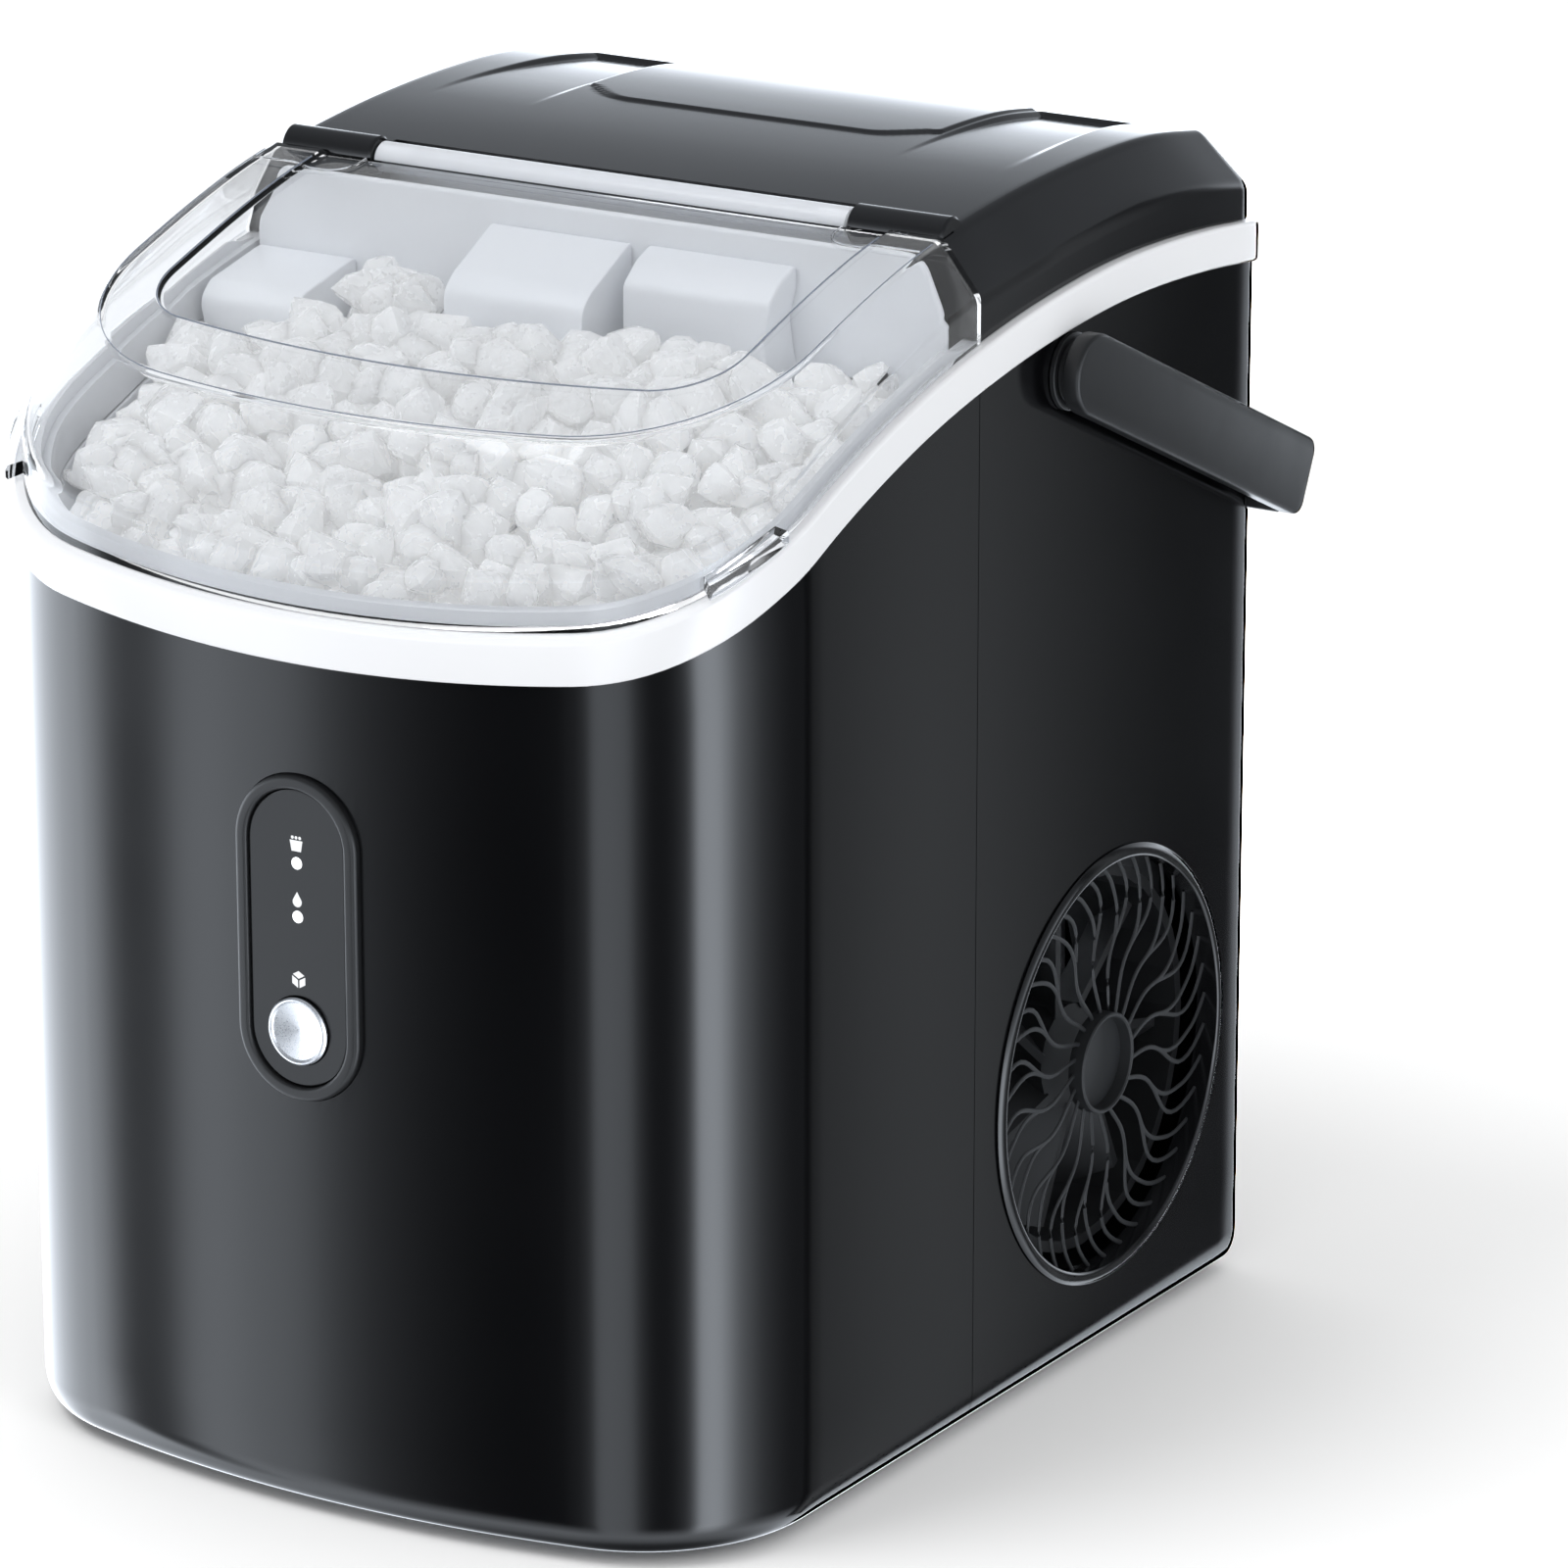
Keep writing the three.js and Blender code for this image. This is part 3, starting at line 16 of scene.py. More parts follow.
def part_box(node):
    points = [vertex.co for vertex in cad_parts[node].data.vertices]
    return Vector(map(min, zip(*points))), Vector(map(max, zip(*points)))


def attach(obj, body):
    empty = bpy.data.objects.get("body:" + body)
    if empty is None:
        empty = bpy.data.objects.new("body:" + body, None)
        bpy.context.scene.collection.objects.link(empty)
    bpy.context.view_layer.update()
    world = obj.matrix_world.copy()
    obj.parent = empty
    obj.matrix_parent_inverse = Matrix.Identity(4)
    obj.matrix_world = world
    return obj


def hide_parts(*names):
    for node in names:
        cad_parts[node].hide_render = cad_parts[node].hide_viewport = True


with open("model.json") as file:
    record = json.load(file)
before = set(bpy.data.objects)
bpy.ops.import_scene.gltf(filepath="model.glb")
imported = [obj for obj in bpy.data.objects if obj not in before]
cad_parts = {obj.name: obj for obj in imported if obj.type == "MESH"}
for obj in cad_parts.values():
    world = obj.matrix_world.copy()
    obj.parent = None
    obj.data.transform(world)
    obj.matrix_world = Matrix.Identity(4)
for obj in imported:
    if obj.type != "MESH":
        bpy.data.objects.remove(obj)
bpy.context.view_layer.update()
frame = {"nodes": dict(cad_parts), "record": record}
MM = 0.001
SKIRT = 0.3  # the cabinet's steel starts this far above its lower edge
ORIGIN = Vector((0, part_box("front_wrap")[0].y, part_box("front_wrap")[0].z - SKIRT * MM))

# ---- Driving dimensions ----

WIDTH = 226
DEPTH = 280
HALF = WIDTH / 2
FRONT_BOW = 329
FRONT_CORNER = 49
CORNER_X = HALF - FRONT_CORNER  # the middle of the front corner's arc
CORNER_Y = FRONT_BOW - math.sqrt((FRONT_BOW - FRONT_CORNER) ** 2 - CORNER_X**2)
REAR_CORNER = 8
SEAM_Y = 134.6
STEEL = 1.5
GAP = 0.3
SIDES = ((-1, "left"), (1, "right"))
FINE_EDGES = (0.3, 2)  # the width and segments of a small part's rounded edges
BAND = 10.6
BAND_PROUD = 1.5
BAND_DEPTH = 8.5
LID_REAR = 136.5
LID_WALL = 2.4
LID_STEP_DEPTH = 1
HINGE_Y = 143
HINGE_Z = 309.5
BARREL_RADIUS = 4.4
BARREL_HALF = 71.7
LUG_RADIUS = 5.6
LUG_OUTER = 100
PIN_RADIUS = 2
HOOD_FRONT = 137.3
HOOD_HALF = 111.5
HOOD_REAR = 278.5
HOOD_WALL = 2.2
HOOD_TOP_HALF = 100
HOOD_TOP_REAR = 270.5
PANEL_Z = 150
BEZEL_HALF_WIDTH = 18
BEZEL_HALF_HEIGHT = 42
BEZEL_RIM = 3.5
BEZEL_PROUD = 2
LAMP_RADIUS = 1.55
LAMPS = {"lamp_lens_full": 169.4, "lamp_lens_water": 155.6}
BUTTON_Z = 126.2
BUTTON_RADIUS = 8.75
GRILLE_Y = 204.7
GRILLE_Z = 77.3
GRILLE_RADIUS = 58.9
GRILLE_RIM = 4
GRILLE_HUB = 13.5
PIVOT_Y = 178.5
PIVOT_Z = 270
ARM_REST = math.radians(-25)
ARM_REACH = 125
ARM_HALF_WIDTH = 10.5
ARM_INNER = 116.6
ARM_OUTER = 122
BAR_THICKNESS = 6
BOSS_RADIUS = 10
SPIGOT_RADIUS = 5
BIN_REAR = 134
BIN_INNER_REAR = BIN_REAR - 2.4
BIN_INSET = 8.6
BIN_FLOOR = 98
BIN_STEP = 203
BIN_WALL = 2
DRAIN = (-85, 28)
CORD = (62, 28)
SCREW_X = 98
VENT_SLOTS = 8
VENT_PITCH = 12
VENT_HALF = 2.5
PRINT_DEPTH = (-0.84, -0.7)


# ---- Curves ----


def smooth_line(points):
    """A height as a function of y: a smooth line through the given (y, z) points."""

    def slope(i):
        before = points[max(i - 1, 0)]
        after = points[min(i + 1, len(points) - 1)]
        return (after[1] - before[1]) / (after[0] - before[0])

    def height(y):
        i = next((k for k in range(len(points) - 1) if y <= points[k + 1][0]), len(points) - 2)
        (y0, z0), (y1, z1) = points[i], points[i + 1]
        span = y1 - y0
        t = min(max((y - y0) / span, 0), 1)
        rise = z0 * (2 * t**3 - 3 * t**2 + 1) + z1 * (3 * t**2 - 2 * t**3)
        return rise + span * (slope(i) * (t**3 - 2 * t**2 + t) + slope(i + 1) * (t**3 - t**2))

    return height


def spread(a, b, count):
    """Evenly spaced values from a to b, both included."""
    return [a + (b - a) * i / count for i in range(count + 1)]


def ease(value, start, end):
    """0 before start, 1 after end, and smooth between them."""
    t = min(max((value - start) / (end - start), 0), 1)
    return t * t * (3 - 2 * t)


def around(u, v, radius, angle):
    """The point at an angle, in radians, on a circle."""
    return u + radius * math.cos(angle), v + radius * math.sin(angle)


def arc(u, v, radius, start, end, count):
    """Points on an arc, with its angles in degrees."""
    return [around(u, v, radius, math.radians(a)) for a in spread(start, end, count)]


TRIM_LOW = smooth_line(
    [(-4, 219), (12, 226), (26, 233.5), (45, 244), (75, 257.2), (112, 269.2)]
    + [(150, 277.1), (186, 281.5), (215, 282.8), (250, 281.4), (284, 277.8)]
)
LID_SHOULDER = smooth_line([(-2, 244.5), (20, 255), (50, 269.2), (80, 281.9), (110, 292), (140, 298.6)])
LID_TOP = smooth_line(
    [(18, 276.8), (40, 283.6), (60, 290.2), (80, 296.8), (100, 303), (120, 308.2), (140, 312)]
)
HOOD_LOW_RIDGE = smooth_line(
    [(130, 295.5), (156, 297.8), (176, 300.5), (201, 302.5), (227, 303.2), (253, 302), (280, 298)]
)
HOOD_TOP = smooth_line(
    [(130, 310.4), (150, 313.6), (182, 316.8), (216, 318.1), (245, 317.2), (275, 312.9)]
)


def trim_top(y):
    return TRIM_LOW(y) + BAND * math.hypot(1, TRIM_LOW(y + 0.5) - TRIM_LOW(y - 0.5))


def wrap_top(y):
    return TRIM_LOW(y) - GAP


# ---- Plan outlines, as points of the right half ----


def front_outline(front, half_width, bow, corner, rear, bow_steps=18, corner_steps=18, side_steps=14):
    """From the middle of the front, round the front corner and along the side to the rear."""
    corner_x = half_width - corner
    corner_y = front + bow - math.sqrt((bow - corner) ** 2 - corner_x**2)
    meet = math.asin(corner_x / (bow - corner))
    points = [(bow * math.sin(t), front + bow - bow * math.cos(t)) for t in spread(0, meet, bow_steps)]
    turns = spread(meet, math.pi / 2, corner_steps)[1:]
    points += [(corner_x + corner * math.sin(t), corner_y - corner * math.cos(t)) for t in turns]
    return points + [(half_width, y) for y in spread(corner_y, rear, side_steps)[1:]]


def wrap_outline(inset, rear=SEAM_Y - GAP / 2):
    return front_outline(inset, HALF - inset, FRONT_BOW - inset, FRONT_CORNER - inset, rear)


def rear_outline(inset, front=SEAM_Y + GAP / 2):
    """From the seam along the side and round the rear corner to the middle of the back."""
    corner = max(REAR_CORNER - inset, 1)
    side_end = DEPTH - inset - corner
    side = [(HALF - inset, y) for y in spread(front, side_end, 20)]
    turn = arc(HALF - inset - corner, side_end, corner, 0, 90, 8)[1:]
    back = [(x, DEPTH - inset) for x in spread(turn[-1][0], 0, 10)[1:]]
    return side + turn + back


def cabinet_outline(inset):
    return wrap_outline(inset, SEAM_Y) + rear_outline(inset, SEAM_Y)[1:]


def mirrored(points):
    return [(-p[0],) + tuple(p[1:]) for p in points]


def lifted(outline, height):
    return [(x, y, height(y) if callable(height) else height) for x, y in outline]


def round_front(half_row):
    """A whole row from the left rear round the front to the right rear."""
    return mirrored(half_row[::-1]) + half_row[1:]


def round_back(half_row):
    return half_row + mirrored(half_row[:-1])[::-1]


def full_loop(half_row):
    return half_row + mirrored(half_row[1:-1])[::-1]


# ---- Meshes, as (points, faces) ----


def grid(rows, wrap_rows=False, wrap_columns=False):
    count = len(rows[0])
    points = [point for row in rows for point in row]
    faces = []
    for r in range(len(rows) if wrap_rows else len(rows) - 1):
        for c in range(count if wrap_columns else count - 1):
            low, high = r * count, (r + 1) % len(rows) * count
            right = (c + 1) % count
            faces.append((low + c, low + right, high + right, high + c))
    return points, faces


def capped(solid, *rings):
    """Closes the solid with flat faces over the given runs of point numbers."""
    points, faces = solid
    return points, faces + [tuple(ring) for ring in rings]


def stacked(rows):
    """A solid through closed rows of points, flat at both ends."""
    count = len(rows[0])
    last = (len(rows) - 1) * count
    return capped(grid(rows, wrap_columns=True), range(count - 1, -1, -1), range(last, last + count))


def join(*solids):
    points, faces = [], []
    for more_points, more_faces in solids:
        start = len(points)
        points.extend(more_points)
        faces.extend(tuple(i + start for i in face) for face in more_faces)
    return points, faces


# A point from its distance w along an axis and its two other coordinates.
PLACE = {
    "x": lambda u, v, w: (w, u, v),
    "y": lambda u, v, w: (u, w, v),
    "z": lambda u, v, w: (u, v, w),
}


def extruded(outline, a, b, axis):
    """A flat outline pushed from a to b along an axis."""
    place = PLACE[axis]
    return stacked([[place(u, v, w) for u, v in outline] for w in (a, b)])


def turned(profile, axis, u, v, count=48):
    """A solid of revolution from (radius, distance along the axis) points. A radius of 0 closes it."""
    place = PLACE[axis]
    turns = [2 * math.pi * i / count for i in range(count)]
    rows = [[place(*around(u, v, r, a), w) for a in turns] for r, w in profile]
    return grid(rows, wrap_rows=profile[0][0] > 0 and profile[-1][0] > 0, wrap_columns=True)


def box_solid(x0, x1, y0, y1, z0, z1):
    return extruded([(x0, y0), (x1, y0), (x1, y1), (x0, y1)], z0, z1, "z")


def rod(axis, radius, a, b, u, v, count=40):
    return turned([(0, a), (radius, a), (radius, b), (0, b)], axis, u, v, count)


def slot_outline(u, v, half_width, half_height, steps=16):
    straight = half_height - half_width
    top = arc(u, v + straight, half_width, 0, 180, steps)
    return top + arc(u, v - straight, half_width, 180, 360, steps)


def tube(path, radius, count=8, sides=(1, 1)):
    """A rib along a path, oval when its two sides differ. It is closed at both ends."""
    points = [Vector(p) for p in path]
    rows = []
    for i, point in enumerate(points):
        along = (points[min(i + 1, len(points) - 1)] - points[max(i - 1, 0)]).normalized()
        across = along.cross(Vector((0, 0, 1)))
        across = across.normalized() if across.length > 0.05 else Vector((1, 0, 0))
        other = across.cross(along)
        turns = [2 * math.pi * k / count for k in range(count)]
        wide, high = across * radius * sides[0], other * radius * sides[1]
        rows.append([tuple(point + wide * math.cos(a) + high * math.sin(a)) for a in turns])
    return stacked(rows)


def bend(start, middle, end, t):
    """A point on the round curve from start to end that replaces the corner in the middle."""
    return tuple(start * (1 - t) ** 2 + middle * 2 * t * (1 - t) + end * t**2)


def rounded_rows(rows, radii, count=4):
    """Stacked rows of points with a fillet at each inner row whose radius isn't 0."""
    made = [rows[0]]
    for i in range(1, len(rows) - 1):
        if not radii[i]:
            made.append(rows[i])
            continue
        for t in spread(0, 1, count):
            fillet = []
            for before, here, after in zip(rows[i - 1], rows[i], rows[i + 1], strict=True):
                a, b, c = Vector(before), Vector(here), Vector(after)
                start = b + (a - b) * min(radii[i] / max((a - b).length, 1e-6), 0.45)
                end = b + (c - b) * min(radii[i] / max((c - b).length, 1e-6), 0.45)
                fillet.append(bend(start, b, end, t))
            made.append(fillet)
    return made + [rows[-1]]


def crossed(rows, across):
    """Sections from the right foot, over the top, to the left foot, one for each station of the rows."""
    sections = []
    for i in range(len(rows[0])):
        right = [row[i] for row in rows]
        (x, y, z), shares = right[-1], spread(1, -1, across)[1:-1]
        sections.append(right + [(x * s, y, z) for s in shares] + mirrored(right[::-1]))
    return sections


# ---- Objects ----


def add_object(name, data):
    item = bpy.data.objects.new(name, data)
    bpy.context.scene.collection.objects.link(item)
    return item


def new_object(name, solid):
    points, faces = solid
    mesh = bpy.data.meshes.new(name)
    mesh.from_pydata([ORIGIN + Vector(p) * MM for p in points], [], faces)
    work = bmesh.new()
    work.from_mesh(mesh)
    bmesh.ops.remove_doubles(work, verts=work.verts, dist=1e-6)
    bmesh.ops.dissolve_degenerate(work, edges=work.edges, dist=1e-6)
    bmesh.ops.recalc_face_normals(work, faces=work.faces)
    work.to_mesh(mesh)
    work.free()
    return add_object(name, mesh)


def modify(item, kind, **settings):
    """Applies a modifier to an object's mesh."""
    change = item.modifiers.new("change", kind)
    for name, value in settings.items():
        setattr(change, name, value)
    graph = bpy.context.evaluated_depsgraph_get()
    mesh = bpy.data.meshes.new_from_object(item.evaluated_get(graph))
    item.modifiers.clear()
    item.data = mesh


def thicken(item, thickness):
    """Gives a sheet its wall, inwards from the faces it has."""
    modify(item, "SOLIDIFY", thickness=thickness * MM, offset=-1, use_even_offset=True)


def bevel(item, width, segments, angle=40):
    """Rounds the edges that are sharper than the angle."""
    limits = {"limit_method": "ANGLE", "angle_limit": math.radians(angle)}
    modify(item, "BEVEL", width=width * MM, segments=segments, **limits)


def carve(item, *solids):
    """Cuts solids out of an object."""
    for solid in solids:
        cutter = new_object("cutter", solid)
        modify(item, "BOOLEAN", operation="DIFFERENCE", solver="EXACT", object=cutter)
        bpy.data.objects.remove(cutter)


def dress(item, look, nodes=(), body="cabinet", sharp=35):
    """Gives a piece its material, its shading and its body, and hides the CAD nodes it stands for."""
    item.data.materials.clear()
    item.data.materials.append(MATERIALS[look])
    item.data.shade_smooth()
    item.data.set_sharp_from_angle(angle=math.radians(sharp))
    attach(item, body)
    if nodes:
        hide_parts(*nodes)


def piece(name, solid, look, nodes=(), body="cabinet", sharp=35, edges=None):
    """Makes a piece from a solid. Its edges are rounded when their width and segments are given."""
    item = new_object(name, solid)
    if edges:
        bevel(item, *edges)
    dress(item, look, nodes, body, sharp)


# ---- Materials ----


def set_sockets(node, values):
    """Links or sets sockets. An underscore stands for a space in a socket's name."""
    for name, value in values.items():
        socket = node.inputs[name.replace("_", " ")]
        if isinstance(value, bpy.types.NodeSocket):
            socket.id_data.links.new(value, socket)
        else:
            socket.default_value = value


def add_node(tree, kind, **values):
    node = tree.nodes.new("ShaderNode" + kind)
    set_sockets(node, values)
    return node


class Surface:
    """A material with its Principled shader, and short calls for the patterns that feed it."""

    def __init__(self, name, colour, roughness, **more):
        self.name = name
        self.material = bpy.data.materials.new(name)
        self.material.use_nodes = True
        self.tree = self.material.node_tree
        self.relief = {}
        self.feed(Base_Color=(*colour, 1), Roughness=roughness, **more)

    def feed(self, **values):
        set_sockets(self.tree.nodes["Principled BSDF"], values)
        return self

    def pattern(self, kind, output, stretch=(1, 1, 1), **values):
        """The output of a texture node that is laid out in the object's own space."""
        place = add_node(self.tree, "TexCoord").outputs["Object"]
        spot = add_node(self.tree, "Mapping", Vector=place, Scale=stretch).outputs["Vector"]
        return add_node(self.tree, kind, Vector=spot, **values).outputs[output]

    def noise(self, scale, detail=3, stretch=(1, 1, 1)):
        return self.pattern("TexNoise", "Fac", stretch, Scale=scale, Detail=detail)

    def cells(self, scale):
        return self.pattern("TexVoronoi", "Distance", Scale=scale)

    def vary_roughness(self, pattern, low, high):
        limits = {"From_Min": 0.3, "From_Max": 0.7, "To_Min": low, "To_Max": high}
        change = add_node(self.tree, "MapRange", Value=pattern, **limits)
        return self.feed(Roughness=change.outputs["Result"])

    def patchy(self, scale, low, high):
        """Lets the roughness vary in soft patches."""
        return self.vary_roughness(self.noise(scale), low, high)

    def vary_colour(self, pattern, dark, light, start=0.3, end=0.7):
        ramp = add_node(self.tree, "ValToRGB", Fac=pattern)
        for element, spot, colour in zip(ramp.color_ramp.elements, (start, end), (dark, light), strict=True):
            element.position = spot
            element.color = (*colour, 1)
        return self.feed(Base_Color=ramp.outputs["Color"])

    def tinted(self, scale, detail, dark, light, *limits):
        return self.vary_colour(self.noise(scale, detail), dark, light, *limits)

    def bump(self, pattern, strength, depth):
        """Adds a layer of relief over any earlier one. Its depth is in millimetres."""
        values = {"Height": pattern, "Strength": strength, "Distance": depth * MM}
        layer = add_node(self.tree, "Bump", **values, **self.relief)
        self.relief = {"Normal": layer.outputs["Normal"]}
        return self.feed(**self.relief)

    def grained(self, scale, strength, depth, detail=2):
        return self.bump(self.noise(scale, detail), strength, depth)


def satin_plastic(name, colour, roughness):
    made = Surface(name, colour, roughness).patchy(60, roughness - 0.04, roughness + 0.05)
    return made.grained(2400, 0.15, 0.03)


def brushed_steel(name, colour, roughness):
    made = Surface(name, colour, roughness, Metallic=1)
    made.vary_roughness(made.noise(400, 3, (1, 1, 0.05)), roughness - 0.08, roughness + 0.1)
    return made.bump(made.noise(1800, 2, (1, 1, 0.04)), 0.1, 0.02)


def see_through(name, colour, roughness, clarity):
    return Surface(name, colour, roughness, Transmission_Weight=clarity, IOR=1.42)


def lamp_white():
    glow = {"Emission_Strength": 1.1, "Emission_Color": (0.95, 0.98, 1, 1)}
    return Surface("lamp_white", (0.9, 0.93, 1.0), 0.3, **glow).patchy(600, 0.25, 0.35)


def spun_aluminium():
    made = Surface("spun_aluminium", (0.8, 0.81, 0.83), 0.3, Metallic=1, Anisotropic=0.85)
    tangent = add_node(made.tree, "Tangent")
    tangent.direction_type = "RADIAL"
    tangent.axis = "Y"
    made.feed(Tangent=tangent.outputs["Tangent"])
    return made.vary_roughness(made.noise(2500, 1), 0.26, 0.34)


def board_green():
    made = Surface("board_green", (0.01, 0.085, 0.03), 0.42)
    made.vary_colour(made.cells(260), (0.006, 0.06, 0.02), (0.02, 0.12, 0.045), 0.1, 0.5)
    return made.bump(made.cells(260), 0.2, 0.05)


def ice():
    """Cloudy ice. Its faint glow stands in for light that scatters inside the heap."""
    made = Surface("nugget_ice", (0.95, 0.965, 0.98), 0.22, Transmission_Weight=0.22, IOR=1.31)
    made.feed(Subsurface_Weight=0.75, Subsurface_Radius=(1, 1, 1), Subsurface_Scale=0.008)
    made.feed(Emission_Color=(1, 1, 1, 1), Emission_Strength=0.08)
    made.tinted(130, 4, (0.9, 0.905, 0.91), (0.99, 0.988, 0.983), 0.34, 0.56)
    made.patchy(240, 0.12, 0.4)
    return made.bump(made.cells(300), 0.3, 0.5).grained(700, 0.4, 0.35, 5)


def all_surfaces():
    steel = Surface("gloss_black_steel", (0.0022, 0.0023, 0.0028), 0.12)
    hood = Surface("hood_black", (0.006, 0.0063, 0.0072), 0.16)
    gloss = Surface("gloss_black_plastic", (0.005, 0.0053, 0.006), 0.16)
    rubber = Surface("rubber_black", (0.014, 0.014, 0.014), 0.8)
    rubber.tinted(90, 3, (0.01, 0.01, 0.01), (0.022, 0.022, 0.022))
    white = Surface("white_plastic", (0.86, 0.87, 0.89), 0.2).patchy(30, 0.18, 0.26)
    white.tinted(6, 2, (0.74, 0.755, 0.785), (0.78, 0.79, 0.81))
    # The bin's own white is a little bluer and less glossy than the trim.
    bin_white = Surface("bin_plastic", (0.8, 0.83, 0.88), 0.34).patchy(30, 0.3, 0.4)
    bin_white.tinted(7, 2, (0.87, 0.89, 0.93), (0.91, 0.925, 0.95))
    milky = Surface("milky_plastic", (0.74, 0.76, 0.75), 0.42)
    milky.tinted(20, 3, (0.7, 0.72, 0.71), (0.78, 0.8, 0.79))
    copper = Surface("copper_tube", (0.62, 0.27, 0.13), 0.34, Metallic=1).patchy(110, 0.28, 0.45)
    return [
        steel.patchy(9, 0.1, 0.14).grained(700, 0.05, 0.02),
        hood.patchy(14, 0.14, 0.18).grained(1500, 0.08, 0.02),
        gloss.patchy(40, 0.14, 0.19).grained(900, 0.03, 0.01),
        rubber.grained(1200, 0.4, 0.08, 4),
        white.grained(1100, 0.05, 0.02),
        bin_white.grained(1500, 0.08, 0.03),
        milky.grained(1400, 0.1, 0.03),
        copper.tinted(45, 4, (0.42, 0.17, 0.08), (0.7, 0.33, 0.17)),
        satin_plastic("satin_black", (0.0065, 0.0068, 0.0075), 0.4),
        satin_plastic("compressor_black", (0.016, 0.016, 0.018), 0.36),
        satin_plastic("grille_grey", (0.011, 0.0118, 0.013), 0.5),
        see_through("clear_plastic", (0.965, 0.98, 1.0), 0.02, 1).patchy(12, 0.012, 0.03),
        see_through("frosted_plastic", (0.86, 0.89, 0.94), 0.16, 0.45).patchy(40, 0.12, 0.2),
        # Smoked plastic serves only the lid's edge lines: painted shade along the clear edges of the dome.
        see_through("smoked_plastic", (0.3, 0.34, 0.42), 0.2, 0.55).patchy(40, 0.15, 0.25),
        brushed_steel("stainless", (0.56, 0.57, 0.58), 0.32),
        brushed_steel("fin_aluminium", (0.7, 0.71, 0.72), 0.4),
        Surface("print_white", (0.82, 0.84, 0.86), 0.45).patchy(300, 0.4, 0.5),
        lamp_white(),
        spun_aluminium(),
        board_green(),
        ice(),
    ]


MATERIALS = {made.name: made.material for made in all_surfaces()}


# ---- Cabinet ----

SKIN_TURN = 4.6  # how far the steel rolls in at the bottom
ROLL_TOP = 9  # the height at which the roll ends
COLLAR_RISE = 3.4


def skin_levels():
    """The insets and heights of the skin's rows, from the rolled lower edge up to the trim."""
    rise = ROLL_TOP - SKIRT
    roll = [SKIRT + rise * (1 - math.cos(math.radians(a))) for a in spread(0, 90, 10)]
    return [(SKIN_TURN * (1 - math.sqrt(max(1 - ((ROLL_TOP - z) / rise) ** 2, 0))), z) for z in roll]


def skin_rows(outline):
    rows = [lifted(outline(inset), z) for inset, z in skin_levels()]
    foot = rows[-1]
    for share in spread(0, 1, 16)[1:]:
        rows.append([(x, y, z + (wrap_top(y) - z) * share) for x, y, z in foot])
    return rows


def make_wrap():
    item = new_object("front_wrap_skin", grid([round_front(row) for row in skin_rows(wrap_outline)]))
    thicken(item, STEEL)
    hole = slot_outline(0, PANEL_Z, BEZEL_HALF_WIDTH + GAP, BEZEL_HALF_HEIGHT + GAP, 24)
    carve(item, extruded(hole, -6, 12, "y"))
    dress(item, "gloss_black_steel", ["front_wrap"])


def vent_cutters():
    """Upright slots in the left side and level ones in the back."""
    cutters = []
    for i in range(VENT_SLOTS):
        spot = (i - (VENT_SLOTS - 1) / 2) * VENT_PITCH
        upright = slot_outline(GRILLE_Y + spot, GRILLE_Z, VENT_HALF, 34, 8)
        cutters.append(extruded(upright, -120, -100, "x"))
        level = slot_outline(60 + VENT_PITCH * i, 0, VENT_HALF, 52, 8)
        cutters.append(extruded([(x, z) for z, x in level], 270, 290, "y"))
    return cutters


def make_rear_shell():
    item = new_object("rear_shell_skin", grid([round_back(row) for row in skin_rows(rear_outline)]))
    thicken(item, STEEL)
    carve(item, rod("x", GRILLE_RADIUS - 1, 100, 125, GRILLE_Y, GRILLE_Z, 96))
    for side, _ in SIDES:
        carve(item, rod("x", SPIGOT_RADIUS + GAP, side * 106, side * 122, PIVOT_Y, PIVOT_Z, 32))
    for x, z, radius in ((*DRAIN, 7.3), (*CORD, 7.3), (-SCREW_X, 150, 2.3), (SCREW_X, 150, 2.3)):
        carve(item, rod("y", radius, 270, 290, x, z, 32))
    carve(item, join(*vent_cutters()))
    dress(item, "gloss_black_steel", ["rear_shell"])


def trim_rows():
    """Round the band's section: underside, outside, ledge, collar and inside."""

    def collar(y):
        return trim_top(y) + COLLAR_RISE * (1 - ease(y, 126, 131))

    section = [(BAND_DEPTH, TRIM_LOW)]
    for u, v in arc(0, 0, 1, 270, 180, 5):
        section.append((-BAND_PROUD + 1 + u, lambda y, v=v: TRIM_LOW(y) + 1 + v))
    for u, v in arc(0, 0, 1.2, 180, 90, 6):
        section.append((-BAND_PROUD + 1.2 + u, lambda y, v=v: trim_top(y) - 1.2 + v))
    section += [(2, trim_top), (4.4, trim_top)]
    section += [(4.5, lambda y: collar(y) - 0.3 if collar(y) > trim_top(y) + 0.3 else trim_top(y))]
    section += [(4.9, collar), (6.1, collar), (6.4, trim_top), (BAND_DEPTH, trim_top)]
    return [full_loop(lifted(cabinet_outline(inset), height)) for inset, height in section]


def make_trim():
    ring = grid(trim_rows(), wrap_rows=True, wrap_columns=True)
    piece("trim_moulding", ring, "white_plastic", ["trim_band"])


# ---- Hood ----

PANEL_RISE = 0.7  # the hood's raised middle panel
WING_DEPTH = 1.5
NET_HALF = 97
NET_REAR = 267.6
TROUGH_REAR = HINGE_Y + LUG_RADIUS + 1.4
TROUGH_FLOOR = 301.6
TROUGH_WALL_TOP = 312.3


def stations(start, stretches):
    """Values from start on, each stretch given by where it ends and the step inside it."""
    values = [start]
    for end, step in stretches:
        values += spread(values[-1], end, max(round((end - values[-1]) / step), 1))[1:]
    return values


HOOD_ACROSS = stations(0, [(52, 1.7), (58, 0.4), (79, 1.7), (90, 0.5), (NET_HALF, 1.2)])
HOOD_ALONG = stations(
    HOOD_FRONT, [(188, 2.4), (202, 1.4), (220, 0.45), (258, 1.5), (265, 0.35), (NET_REAR, 0.9)]
)


